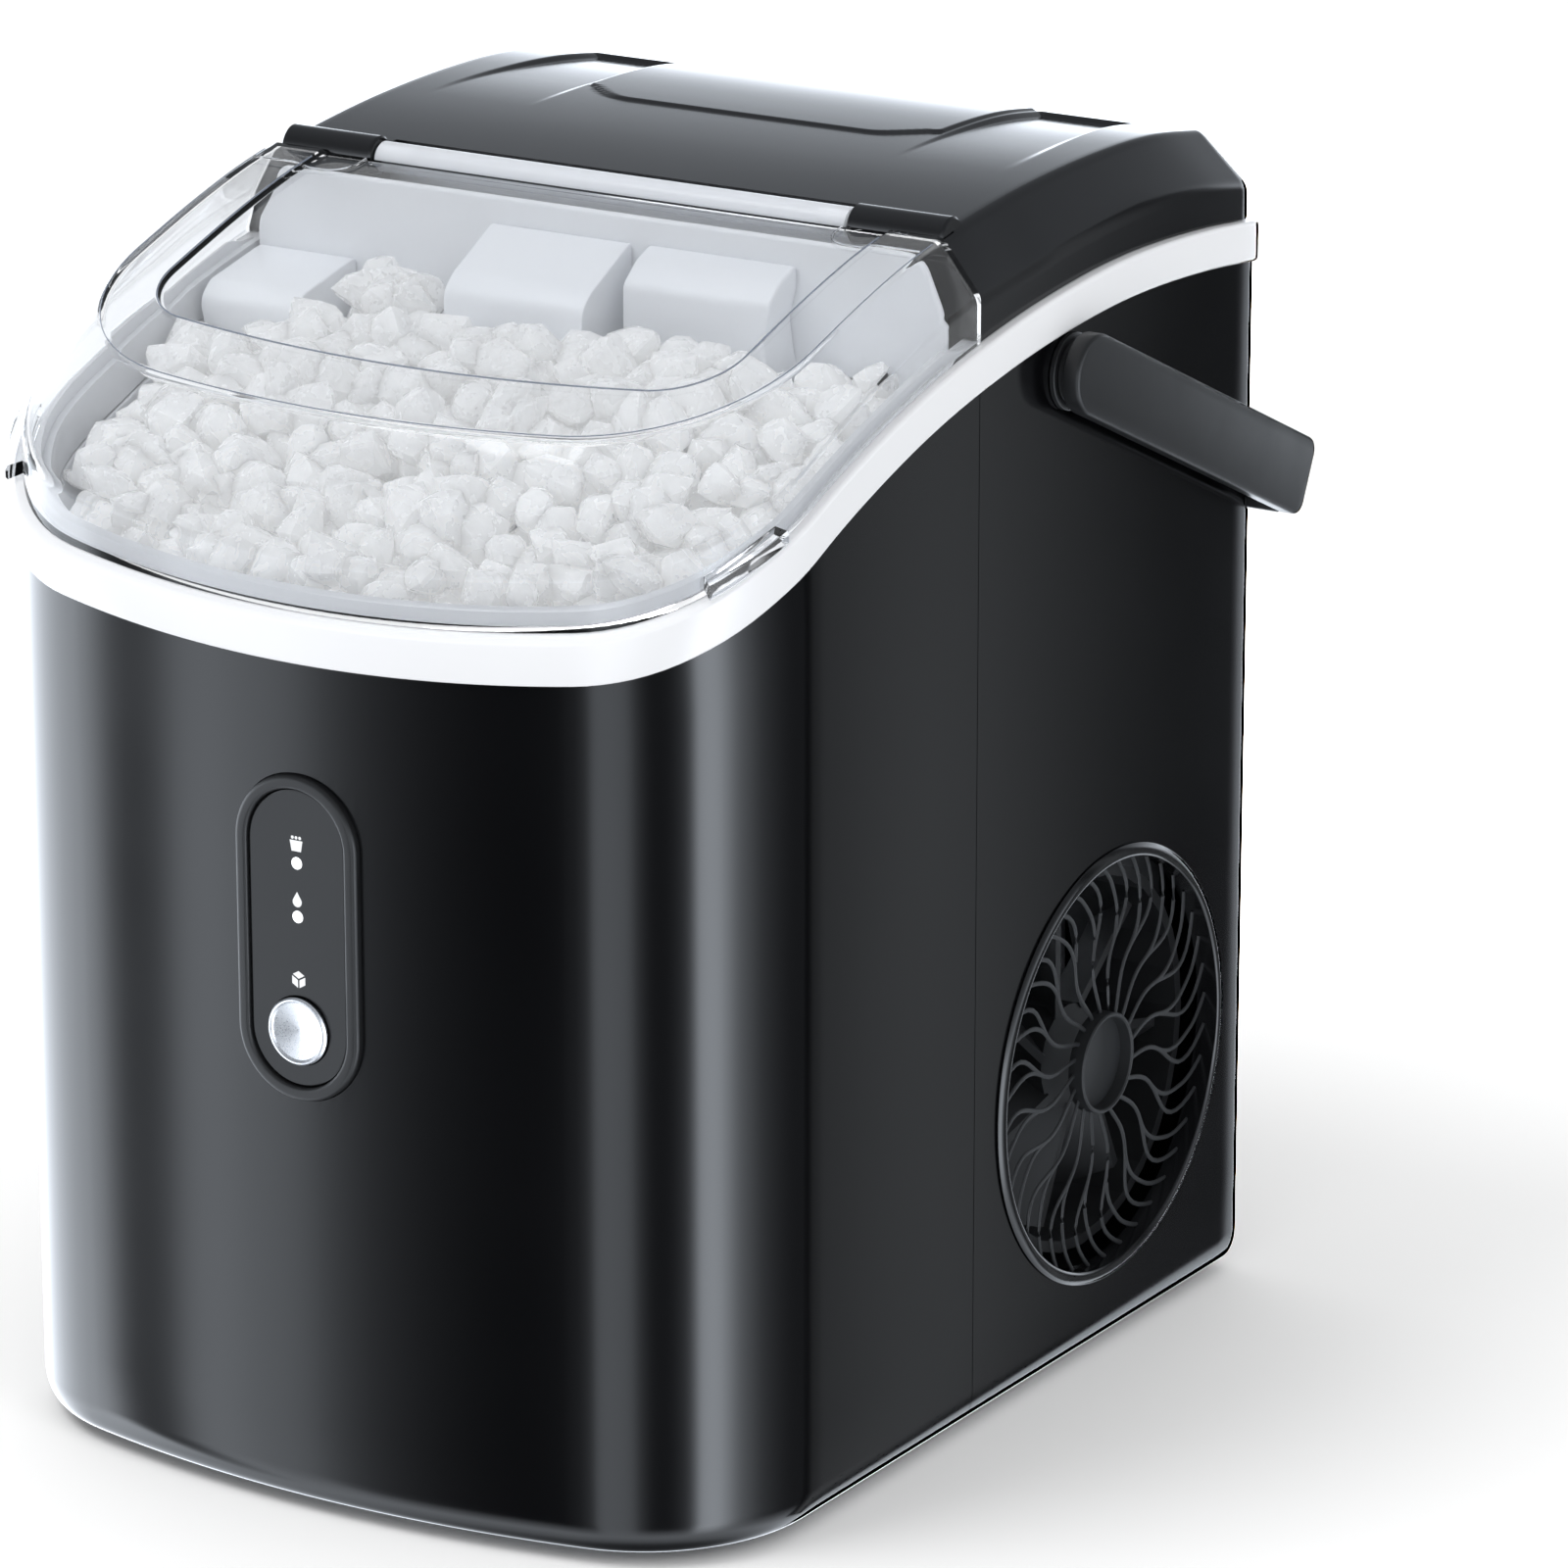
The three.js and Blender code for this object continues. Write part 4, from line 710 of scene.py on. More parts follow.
def hood_relief(x, y):
    """How far the hood's top lies below its highest surface."""
    side = abs(x)
    front_edge = 204 + 11 * ease(side, 36, 58) ** 1.3
    panel = ease(y, front_edge, front_edge + 1.4)
    panel *= (1 - ease(side, 53.4, 54.8)) * (1 - ease(y, 261.4, 262.8))
    outer = 89 - 5 * ease(y, 185, 262)
    across = ease(side, 55.2, 57.2) * (1 - ease(side, outer - 2.4, outer))
    wing = across * ease(y, 186, 256) * (1 - ease(y, 261.2, 263))
    return PANEL_RISE * (1 - panel) + WING_DEPTH * wing


def hood_row(half_width, rear, corner, height):
    """A row from the front of the right side, round the rear corner, to the middle of the back."""
    stretch = (rear - corner - HOOD_FRONT) / (NET_REAR - HOOD_FRONT)
    side = [(half_width, HOOD_FRONT + (y - HOOD_FRONT) * stretch) for y in HOOD_ALONG[:-1]]
    turn = arc(half_width - corner, rear - corner, corner, 0, 90, 8)
    back = [(x * (half_width - corner) / NET_HALF, rear) for x in HOOD_ACROSS[-2::-1]]
    return lifted(side + turn + back, height)


def net_edge():
    side = [(NET_HALF, y) for y in HOOD_ALONG[:-1]]
    back = [(x, NET_REAR) for x in HOOD_ACROSS[-2::-1]]
    edge = side + [(NET_HALF, NET_REAR)] * 9 + back
    return [(x, y, HOOD_TOP(y) - hood_relief(x, y)) for x, y in edge]


def hood_sides():
    foot = hood_row(HOOD_HALF, HOOD_REAR, 7, lambda y: trim_top(y) + GAP)
    ridge = hood_row(HOOD_HALF, HOOD_REAR, 7, HOOD_LOW_RIDGE)
    brow = hood_row(HOOD_TOP_HALF, HOOD_TOP_REAR, 3, lambda y: HOOD_TOP(y) - PANEL_RISE)
    return rounded_rows([foot, ridge, brow, net_edge()], [0, 2.4, 2.6, 0], 6)


def hood_net():
    across = [-x for x in HOOD_ACROSS[:0:-1]] + HOOD_ACROSS
    return [[(x, y, HOOD_TOP(y) - hood_relief(x, y)) for x in across] for y in HOOD_ALONG]


def lug_corner(side):
    x0, x1 = sorted((side * (BARREL_HALF - 1), side * (LUG_OUTER + GAP)))
    return box_solid(x0, x1, 130, HINGE_Y, HINGE_Z - 5, 330)


def hood_front_outline():
    low = trim_top(HOOD_FRONT) + 0.5
    right = [(BARREL_HALF + 1, TROUGH_FLOOR), (BARREL_HALF + 1, HINGE_Z - 5.2)]
    right += [(LUG_OUTER + GAP, HINGE_Z - 5.2), (LUG_OUTER + 1.2, 306.4), (109, 296), (109, low)]
    return right + mirrored(right[::-1])


def make_hood():
    sides = grid([round_back(row) for row in hood_sides()])
    item = new_object("hood_shell", join(sides, grid(hood_net())))
    thicken(item, HOOD_WALL)
    trough = box_solid(-BARREL_HALF - GAP, BARREL_HALF + GAP, 130, TROUGH_REAR, 280, 330)
    carve(item, trough, lug_corner(-1), lug_corner(1))
    dress(item, "hood_black", ["hood"], sharp=30)
    half, back, top = BARREL_HALF + 2.5, TROUGH_REAR + 2, TROUGH_FLOOR
    floor = box_solid(-half, half, HOOD_FRONT + 0.2, back, top - 2, top)
    rear = box_solid(-half, half, TROUGH_REAR, back, top - 1, TROUGH_WALL_TOP)
    front = extruded(hood_front_outline(), HOOD_FRONT, HOOD_FRONT + HOOD_WALL, "y")
    piece("hood_front_wall", front, "hood_black", edges=FINE_EDGES)
    for name, solid in (("hood_trough", floor), ("hood_trough_wall", rear)):
        piece(name, solid, "white_plastic", edges=FINE_EDGES)
    for side, name in SIDES:
        inner, outer = side * (BARREL_HALF + GAP), side * LUG_OUTER
        edge = side * 0.6
        profile = [(2.05, inner), (LUG_RADIUS - 0.6, inner), (LUG_RADIUS, inner + edge)]
        profile += [(LUG_RADIUS, outer - edge), (LUG_RADIUS - 0.6, outer), (2.05, outer)]
        piece("hood_lug_" + name, turned(profile, "x", HINGE_Y, HINGE_Z), "hood_black")


# ---- Clear lid ----

# Each edge of the lid, as the front, half width, bow and corner radius of its outline.
LID_FOOT = (1, 112, 328, 48)
LID_STEP = (44.5, 85.7, 437, 20)
LID_SUNK = (45.7, 84.7, 437, 19)
LID_MIDDLE = (52, 79, 437, 15)


def lid_edge(edge, height, rear=LID_REAR):
    return lifted(front_outline(*edge, rear), height)


def lid_outside():
    rows = [
        lid_edge(LID_FOOT, lambda y: trim_top(y) + 0.4),
        lid_edge(LID_FOOT, LID_SHOULDER),
        lid_edge((21.7, 101, 375, 50), LID_TOP),
        lid_edge(LID_STEP, LID_TOP),
        lid_edge(LID_SUNK, lambda y: LID_TOP(y) - LID_STEP_DEPTH),
        lid_edge(LID_MIDDLE, lambda y: LID_TOP(y) - LID_STEP_DEPTH),
    ]
    return rounded_rows(rows, [0, 1.6, 1.2, 0.6, 0.6, 0], 5)


def lid_inside():
    front, *others = LID_FOOT
    foot = (front + LID_WALL, *(value - LID_WALL for value in others))
    rows = [
        lid_edge(foot, lambda y: trim_top(y) + 0.4),
        lid_edge(foot, lambda y: LID_SHOULDER(y) - 1.3),
        lid_edge((23, 99.7, 373.7, 48.7), lambda y: LID_TOP(y) - LID_WALL),
        lid_edge(LID_MIDDLE, lambda y: LID_TOP(y) - LID_WALL),
    ]
    return rounded_rows(rows, [0, 1.6, 1.2, 0], 5)


def lid_shell():
    """A closed shell: outside, inside, the rim along the foot and the straight rear edge."""
    outside, inside = lid_outside(), lid_inside()
    outer_sections, inner_sections = crossed(outside, 24), crossed(inside, 24)
    rim = grid([round_front(outside[0]), round_front(inside[0])])
    rear = outer_sections[-1] + inner_sections[-1][::-1]
    return join(grid(outer_sections), grid(inner_sections), rim, (rear, [tuple(range(len(rear)))]))


def finger_tab(side):
    """A lip that follows the front corner, just above the trim."""
    section = [(47.2, 1.8), (51.8, 1.6), (52.4, 2.4), (52.4, 4.4), (51.8, 5.2), (47.2, 5)]
    rows = []
    for turn in spread(-39, -15, 18):
        row = []
        for radius, rise in section:
            x, y = around(CORNER_X, CORNER_Y, radius, math.radians(turn))
            row.append((side * x, y, trim_top(y) + rise))
        rows.append(row)
    return stacked(rows)


def corner_line(side):
    """The moulded line that runs from the barrel's end round the rear corner to the ridge."""
    turn = arc(79, 133.4, 7, 180, 270, 8)
    path = [(72, 136)] + turn + [(x, 126.4) for x in (83, 88, 93, 98, 100.6)]
    return [(side * x, y, LID_TOP(y) - LID_STEP_DEPTH * (1 - ease(x, 83, 86)) + 0.05) for x, y in path]


def edge_line(edge, rise, radius):
    """A fine dark line along an edge of the dome: painted shade, a smoked plastic tube that stands in for
    the darkening where the clear edge bends the light. The photo shows it dark there.
    """
    row = round_front(lid_edge(edge, lambda y: LID_TOP(y) + rise, LID_REAR - 0.5))
    return tube([point for point in row if point[1] < LID_REAR - 1], radius, 6)


def make_edge_lines():
    # Both lines are painted shade along the step and the ridge of the clear dome.
    step = edge_line(LID_STEP, 0.04, 0.24)
    ridge = edge_line((21.9, 100.8, 375, 50), 0.02, 0.16)
    piece("lid_edge_lines", join(step, ridge), "smoked_plastic", body="lid")


def make_lid():
    piece("lid_dome", lid_shell(), "clear_plastic", ["lid"], "lid", 30)
    end = BARREL_HALF
    bore = PIN_RADIUS + GAP
    profile = [(0, -end + 10), (bore, -end + 10), (bore, -end), (BARREL_RADIUS - 0.7, -end)]
    profile += [(BARREL_RADIUS, -end + 0.7), (BARREL_RADIUS, end - 0.7), (BARREL_RADIUS - 0.7, end)]
    profile += [(bore, end), (bore, end - 10), (0, end - 10)]
    piece("lid_barrel", turned(profile, "x", HINGE_Y, HINGE_Z, 64), "frosted_plastic", body="lid")
    top = LID_TOP(LID_REAR) - LID_STEP_DEPTH - 0.5
    neck = box_solid(-end, end, LID_REAR + 0.05, HINGE_Y - 4, top - 1.9, top - 0.1)
    piece("lid_neck", neck, "clear_plastic", body="lid", edges=FINE_EDGES)
    for side, name in SIDES:
        piece("lid_tab_" + name, finger_tab(side), "clear_plastic", body="lid")
        piece("lid_rib_" + name, tube(corner_line(side), 0.4), "clear_plastic", body="lid")


# ---- Bin ----


def closed_half(front, half_width, bow, rounding, rear, corner):
    """From the middle of the front, round both corners, to the middle of the back."""
    outline = front_outline(front, half_width, bow, rounding, rear - corner)
    turn = arc(half_width - corner, rear - corner, corner, 0, 90, 6)[1:]
    return outline + turn + [(x, rear) for x in spread(half_width - corner, 0, 8)[1:]]


def bin_lower(inset):
    return closed_half(22 + inset, 101 - inset, 307 - inset, 42 - inset, BIN_REAR - inset, 8)


def bin_upper(inset, rear=BIN_REAR):
    return closed_half(inset, HALF - inset, FRONT_BOW - inset, FRONT_CORNER - inset, rear, 5)


def bin_rim(y):
    return TRIM_LOW(y) - 3 * GAP


def liner_rows():
    """Up the outside of the bin, over its flange and down the inside to the floor."""
    outside, flange, inside = bin_upper(6.6), bin_upper(4.2), bin_upper(BIN_INSET, BIN_INNER_REAR)
    levels = [
        (bin_lower(0), BIN_FLOOR),
        (bin_lower(0), BIN_STEP - 8),
        (outside, BIN_STEP),
        (outside, lambda y: bin_rim(y) - 2),
        (flange, lambda y: bin_rim(y) - 2),
        (flange, bin_rim),
        (bin_upper(8.2, BIN_INNER_REAR), bin_rim),
        (inside, lambda y: bin_rim(y) - 0.6),
        (inside, BIN_STEP + BIN_WALL),
        (bin_lower(BIN_WALL), BIN_STEP - 8 + BIN_WALL),
        (bin_lower(BIN_WALL), BIN_FLOOR + BIN_WALL),
    ]
    return [full_loop(lifted(outline, height)) for outline, height in levels]


def rounded_polygon(corners, radius, count=5):
    """A closed outline with each corner rounded."""
    made = []
    points = [Vector(corner) for corner in corners]
    for before, middle, after in zip(points[-1:] + points, points, points[1:] + points[:1]):
        start = middle + (before - middle).normalized() * radius
        end = middle + (after - middle).normalized() * radius
        made += [bend(start, middle, end, t) for t in spread(0, 1, count)]
    return made


def make_bin():
    piece("bin_liner", stacked(liner_rows()), "bin_plastic", ["liner"])
    corners = [(-103.5, 240), (103.5, 240), (103.5, 291), (97, 306), (-97, 306), (-103.5, 291)]
    back = extruded(rounded_polygon(corners, 4), BIN_INNER_REAR, BIN_REAR, "y")
    block = rounded_polygon([(118, 236), (131.5, 236), (131.5, 300), (124, 297), (118, 292)], 2)
    shelf = rounded_polygon([(104, 262), (131.5, 240), (131.5, 285), (108, 280), (104, 276)], 2)
    outlet = rounded_polygon([(108, 256), (131.3, 256), (131.3, 300), (112, 290), (108, 286)], 2.4)
    parts = {
        "bin_back": back,
        "bin_sensor_block": extruded(block, 18.5, 62, "x"),
        "bin_corner_shelf": extruded(shelf, -102, -72, "x"),
    }
    for name, solid in parts.items():
        piece(name, solid, "bin_plastic", edges=(1.6, 4))
    hood = new_object("bin_outlet", extruded(outlet, -29, 13, "x"))
    carve(hood, box_solid(-27, 11, 110, 129.5, 250, 284))
    bevel(hood, 1.2, 4)
    dress(hood, "bin_plastic", ["ice_outlet"])


# ---- Ice ----

NUGGET_SPACING = 9.8
NUGGET_LAYERS = 3
NUGGET_CORNERS = 15
NUGGET_SEED = 7
GOLDEN_ANGLE = 2.39996


def heap_height(x, y):
    """The heap slopes up from the front wall to the outlet, with a few soft mounds."""
    rise = 238 + 50 * ease(y, 0, 128) ** 0.86
    edge = 14 * ease(abs(x), 50, 112)
    mound = 5 * noise.noise(Vector((x * 0.028, y * 0.03, 4)))
    return rise - edge * ease(y, 30, 110) + mound + 4 * ease(abs(x), 30, 90) * (1 - ease(y, 10, 50))


def lid_underside(x, y):
    front = FRONT_BOW - math.sqrt(FRONT_BOW**2 - x * x)
    share = min(max(112 - abs(x), 0) / 11, max(y - front, 0) / 20.7, 1)
    shoulder = LID_SHOULDER(y)
    return shoulder + (LID_TOP(max(y, 22)) - shoulder) * share - LID_WALL - 1.2


def inside_bin(x, y, margin):
    inset = BIN_INSET + margin
    if abs(x) > HALF - inset or y > BIN_INNER_REAR - margin:
        return False
    if abs(x) < CORNER_X:
        return y > FRONT_BOW - math.sqrt((FRONT_BOW - inset) ** 2 - x * x)
    return y > CORNER_Y or math.hypot(abs(x) - CORNER_X, y - CORNER_Y) < FRONT_CORNER - inset


def clear_of_fittings(x, y, z, size):
    blocks = [(-29, 13, 108, 256), (18, 62, 118, 236), (-102, -72, 104, 240), (33, 47, 114, 262)]
    for x0, x1, front, low in blocks:
        if x0 - size < x < x1 + size and y > front - size and z > low - size:
            return False
    return True


def nugget(centre, size, draws):
    """One lump of pressed flake ice: a rough stone with many blunt corners."""
    stretch = Vector((draws.uniform(0.95, 1.35), draws.uniform(0.8, 1.05), draws.uniform(0.65, 0.95)))
    turn = Matrix.Rotation(draws.uniform(0, 6.28), 3, "X") @ Matrix.Rotation(draws.uniform(0, 6.28), 3, "Z")
    seed = Vector([draws.uniform(-50, 50) for _ in range(3)])
    work = bmesh.new()
    for i in range(NUGGET_CORNERS):
        height = 1 - 2 * (i + 0.5) / NUGGET_CORNERS
        turned_by = i * GOLDEN_ANGLE + draws.uniform(-0.5, 0.5)
        corner = Vector((*around(0, 0, math.sqrt(1 - height**2), turned_by), height))
        work.verts.new(corner * draws.uniform(0.72, 1.16))
    hull = bmesh.ops.convex_hull(work, input=work.verts)
    bmesh.ops.delete(work, geom=hull["geom_interior"], context="VERTS")
    bmesh.ops.subdivide_edges(work, edges=work.edges, cuts=1, smooth=0.18, use_grid_fill=True)
    for vertex in work.verts:
        rough = 1 + 0.14 * noise.noise(vertex.co * 2 + seed) + 0.07 * noise.noise(vertex.co * 5 + seed)
        vertex.co = turn @ (vertex.co * stretch) * (rough * size) + Vector(centre)
    work.verts.index_update()
    solid = ([tuple(v.co) for v in work.verts], [tuple(v.index for v in face.verts) for face in work.faces])
    work.free()
    return solid


def nugget_places(draws):
    for layer in range(NUGGET_LAYERS):
        for i in range(-11, 12):
            for k in range(14):
                x = (i + 0.5 * (layer % 2)) * NUGGET_SPACING + draws.uniform(-3.4, 3.4)
                y = (k + 0.5 * (layer % 2)) * NUGGET_SPACING + draws.uniform(-3.4, 3.4)
                size = draws.uniform(6, 9.6)
                z = heap_height(x, y) - size * 0.75 - layer * 7.5 + draws.uniform(-2.4, 2.6)
                if layer == 2 and k > 5:
                    continue
                if not inside_bin(x, y, size * 0.85) or not clear_of_fittings(x, y, z, size * 0.9):
                    continue
                yield (x, y, min(z, lid_underside(x, y) - size * 1.3)), size


def make_ice():
    draws = random.Random(NUGGET_SEED)
    lumps = [nugget(centre, size, draws) for centre, size in nugget_places(draws)]
    piece("nugget_ice", join(*lumps), "nugget_ice", sharp=24)


# ---- Control panel ----


def slot_rows(section):
    """Round a slot-shaped fitting: each (inset, y) of its section makes one row."""
    rows = []
    for inset, y in section:
        outline = slot_outline(0, PANEL_Z, BEZEL_HALF_WIDTH - inset, BEZEL_HALF_HEIGHT - inset, 32)
        rows.append([(x, y, z) for x, z in outline])
    return rows


def make_bezel():
    front = -BEZEL_PROUD
    section = [(0, 8), (0, front + 1.3)]
    section += [(1.3 - 1.3 * math.cos(a), front + 1.3 - 1.3 * math.sin(a)) for a in spread(0.2, 1.57, 5)]
    section += [(2.6, front)]
    section += [(2.7 + 0.8 * math.sin(a), front + 0.8 - 0.8 * math.cos(a)) for a in spread(0, 1.57, 5)]
    section += [(BEZEL_RIM, 8)]
    ring = grid(slot_rows(section), wrap_rows=True, wrap_columns=True)
    piece("bezel_ring", ring, "satin_black", ["panel_bezel"])


def make_face():
    rows = slot_rows([(3.8, 6), (3.8, -0.4), (3.9, -0.7), (4.2, -0.8)])
    item = new_object("panel_window", stacked(rows))
    carve(item, rod("y", BUTTON_RADIUS + GAP, -5, 10, 0, BUTTON_Z, 64))
    for z in LAMPS.values():
        carve(item, rod("y", LAMP_RADIUS + 0.1, -5, 10, 0, z, 32))
    dress(item, "gloss_black_plastic", ["panel_face"], sharp=12)


def make_lamps():
    for name, z in LAMPS.items():
        profile = [(0, 5.5), (LAMP_RADIUS, 5.5), (LAMP_RADIUS, -0.75), (1.3, -0.92), (0.7, -1), (0, -1)]
        piece(name + "_dome", turned(profile, "y", 0, z, 32), "lamp_white", [name])


def make_prints():
    """Generic marks: a full bin over the upper lamp, a drop over the lower one, a cube over the button."""
    top, low = LAMPS["lamp_lens_full"] + 4.6, LAMPS["lamp_lens_water"] + 4.2
    bin_mark = [(-1.9, top + 1.3), (-1.4, top - 1.5), (1.4, top - 1.5), (1.9, top + 1.3)]
    drop = [(0, low + 2.3)] + arc(0, low - 0.3, 1.35, 25, -205, 24)
    marks = [bin_mark, drop]
    cube = BUTTON_Z + 13.2
    for turn in (90, 210, 330):
        side = [math.radians(turn + a) for a in (-60, 0, 60)]
        middle = around(0, cube, 0.25, side[1])
        marks.append([middle] + [around(*middle, 2, a) for a in side])
    for u in (-1.1, 0, 1.1):
        marks.append(arc(u, top + 2, 0.42, 0, 345, 16))
    solids = [extruded(mark, *PRINT_DEPTH, "y") for mark in marks]
    piece("panel_marks", join(*solids), "print_white")


def make_button():
    rim = [(0, 2), (BUTTON_RADIUS - 0.3, 2), (BUTTON_RADIUS, 1.7), (BUTTON_RADIUS, -1.8), (8.3, -2.35)]
    rim += [(7.9, -2.4), (7.6, -2.2), (7.3, -1.75), (3.5, -1.2), (0.25, -0.75), (0, -0.75)]
    cap = turned(rim, "y", 0, BUTTON_Z, 96)
    piece("button_cap", cap, "spun_aluminium", ["power_button"], "button", 25)
    piece("button_stem", rod("y", 3, 8.6, 2, 0, BUTTON_Z, 32), "gloss_black_plastic", body="button")


# ---- Side grille ----

SPOKE_COUNT = 20
SPOKE_FORK = 31


def spoke(angle, start, end, lean=0.0):
    """A thin curved blade from one radius to another, waving to one side and back on its way out."""
    path = []
    for r in spread(start, end, 18):
        t = (r - GRILLE_HUB) / (GRILLE_RADIUS - GRILLE_RIM - GRILLE_HUB)
        turn = angle + 0.12 * math.sin(2 * math.pi * t) + 0.2 * t + lean * ease(r, start, end - 8)
        path.append((109.6 + 0.6 * t, *around(GRILLE_Y, GRILLE_Z, r, turn)))
    return tube(path, 0.38, 8, (1, 1.7))


def make_grille():
    inner, outer = GRILLE_RADIUS - GRILLE_RIM, GRILLE_RADIUS
    rim = [(inner + 0.5, 108), (inner + 0.5, 113.9), (inner + 0.8, 114.3), (inner + 1.5, 114.55)]
    rim += [(outer - 1.6, 114.5), (outer - 0.7, 114.1), (outer, 113.4)]
    rim += [(outer - 1.4, 113.3), (outer - 1.4, 108)]
    ring = turned(rim, "x", GRILLE_Y, GRILLE_Z, 144)
    piece("grille_ring", ring, "gloss_black_plastic", ["side_grille"])
    pieces = []
    for i in range(SPOKE_COUNT):
        angle = 2 * math.pi * i / SPOKE_COUNT
        pieces.append(spoke(angle, GRILLE_HUB - 0.5, inner + 0.6))
        pieces.append(spoke(angle, SPOKE_FORK, inner + 0.6, math.pi / SPOKE_COUNT))
    piece("grille_spokes", join(*pieces), "grille_grey")
    hub = [(0, 108), (GRILLE_HUB, 108), (GRILLE_HUB, 112), (GRILLE_HUB - 0.3, 112.4)]
    hub += [(GRILLE_HUB - 0.8, 112.4), (GRILLE_HUB - 1.1, 112), (GRILLE_HUB - 1.2, 108.8), (0, 108.8)]
    piece("grille_hub", turned(hub, "x", GRILLE_Y, GRILLE_Z, 96), "grille_grey")


# ---- Handle ----


def on_arm(reach, across):
    """A point of the handle in (y, z), from its distance along the arm and its offset across it."""
    c, s = math.cos(ARM_REST), math.sin(ARM_REST)
    return (PIVOT_Y + reach * c - across * s, PIVOT_Z + reach * s + across * c)


def arm_outline():
    points = arc(0, 0, ARM_HALF_WIDTH, 90, 270, 28)
    points += arc(ARM_REACH - 4, -ARM_HALF_WIDTH + 4, 4, -90, 0, 6)
    points += arc(ARM_REACH - 4, ARM_HALF_WIDTH - 4, 4, 0, 90, 6)
    return [on_arm(u, v) for u, v in points]


def make_handle():
    for side, name in SIDES:
        plate = extruded(arm_outline(), side * ARM_INNER, side * ARM_OUTER, "x")
        arm = ["handle_arm_" + name]
        piece("handle_plate_" + name, plate, "satin_black", arm, "handle", edges=(1.1, 4))
        pin = rod("x", SPIGOT_RADIUS, side * 106, side * 117, PIVOT_Y, PIVOT_Z)
        piece("handle_spigot_" + name, pin, "satin_black", body="handle")
        boss = [(0, 113.3), (BOSS_RADIUS, 113.3), (BOSS_RADIUS, 114.4), (9.6, 114.7), (8.2, 114.8)]
        boss += [(8, 115), (8, 116), (7.7, 116.3), (0, 116.3)]
        disc = turned([(r, side * x) for r, x in boss], "x", PIVOT_Y, PIVOT_Z, 64)
        piece("pivot_disc_" + name, disc, "satin_black", ["pivot_boss_" + name])
    half = ARM_HALF_WIDTH
    inner = ARM_REACH - BAR_THICKNESS
    section = [(inner, -half + 2), (inner + 2, -half), (ARM_REACH - 2, -half), (ARM_REACH, -half + 2)]
    section += [(ARM_REACH, half - 2), (ARM_REACH - 2, half), (inner + 2, half), (inner, half - 2)]
    outline = [on_arm(u, v) for u, v in section]
    bar = extruded(outline, -116.3, 116.3, "x")
    piece("handle_grip", bar, "satin_black", ["handle_bar"], "handle", edges=(0.5, 3, 30))


# ---- Rear fittings ----


def make_fittings():
    x, z = DRAIN
    port = [(4.5, 271), (4.5, 282.4), (9.6, 282.4), (10.6, 282.1)]
    port += [(11, 281.4), (11, 280.3), (7, 280.3), (7, 271)]
    piece("drain_flange", turned(port, "y", x, z), "satin_black", ["drain_port"])
    x, z = CORD
    gland = [(3.6, 275), (3.6, 282.8), (4.4, 283), (6, 282.6), (9, 282)]
    gland += [(10, 281.2), (10, 280.3), (7, 280.3), (7, 275)]
    piece("cord_gland", turned(gland, "y", x, z), "satin_black", ["cord_inlet"])


def finish_cad_nodes():
    """Every CAD node takes the procedural material of its slot."""
    for part in frame["record"]["subparts"]:
        mesh = frame["nodes"][part["node"]].data
        mesh.materials.clear()
        mesh.materials.append(MATERIALS[part["material_slot"]])


# ---- Camera, light and floor ----

# The studio's own lengths are in metres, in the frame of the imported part.
CAMERA_PLACE = (1.07067, -1.63832, 0.76397)
CAMERA_AZIMUTH = math.radians(31.96)
CAMERA_ELEVATION = math.radians(17.32)
CAMERA_LENS = 180.83
LIGHT_TARGET = Vector((0, 0, 0.15))
FLOOR_HALF = 6
# Brightness round the studio against azimuth in degrees, counted from the front towards the right.
LOW_STUDIO = [
    (-160, 1.6), (-150, 4.5), (-63, 4.5), (-57, 0.45), (-51, 1.4), (-47, 2.6), (-42, 2.2), (-38, 2.0),
    (-32, 0.85), (-25, 0.26), (-17, 0.05), (-10, 0.02), (-7, 0.15), (0, 0.5), (9, 2.0), (20, 1.85),
    (31, 0.5), (42, 0.12), (54, 0.4), (63, 3.45), (71, 6.1), (80, 4.7), (96, 1.4), (118, 0.26),
    (140, 0.1), (146, 0.44), (152, 0.1), (158, 1.6), (180, 1.6),
]
# Brightness of its upper half against elevation in degrees.
HIGH_STUDIO = [(0, 3.6), (5, 2.6), (12, 1.3), (20, 0.65), (35, 0.32), (60, 0.4), (90, 0.6)]
# Brightness straight below, also against elevation.
STEEP_STUDIO = [(-90, 0.15), (-70, 0.4), (-56, 1.5), (-44, 2.2), (-20, 2.2)]
STUDIO_TOP = 8.0
DIFFUSE_LIGHT = 0.95
WHITE = (1, 1, 1, 1)
COOL_WHITE = (0.86, 0.92, 1, 1)
# Brightness across the side panel, from one edge to the other.
SIDE_LEVELS = ((0, 0), (0.2, 0.02), (0.38, 0.3), (0.5, 0.52), (0.62, 0.3), (0.8, 0.02), (1, 0))


def curve_node(tree, points, low, high):
    """A brightness curve over a range of angles, as a Float Curve node."""
    node = add_node(tree, "FloatCurve")
    curve = node.mapping.curves[0]
    spots = [((angle - low) / (high - low), level / STUDIO_TOP) for angle, level in points]
    while len(curve.points) < len(spots):
        curve.points.new(0.5, 0.5)
    for point, spot in zip(curve.points, spots, strict=True):
        point.location = spot
        point.handle_type = "AUTO_CLAMPED"
    node.mapping.update()
    return node


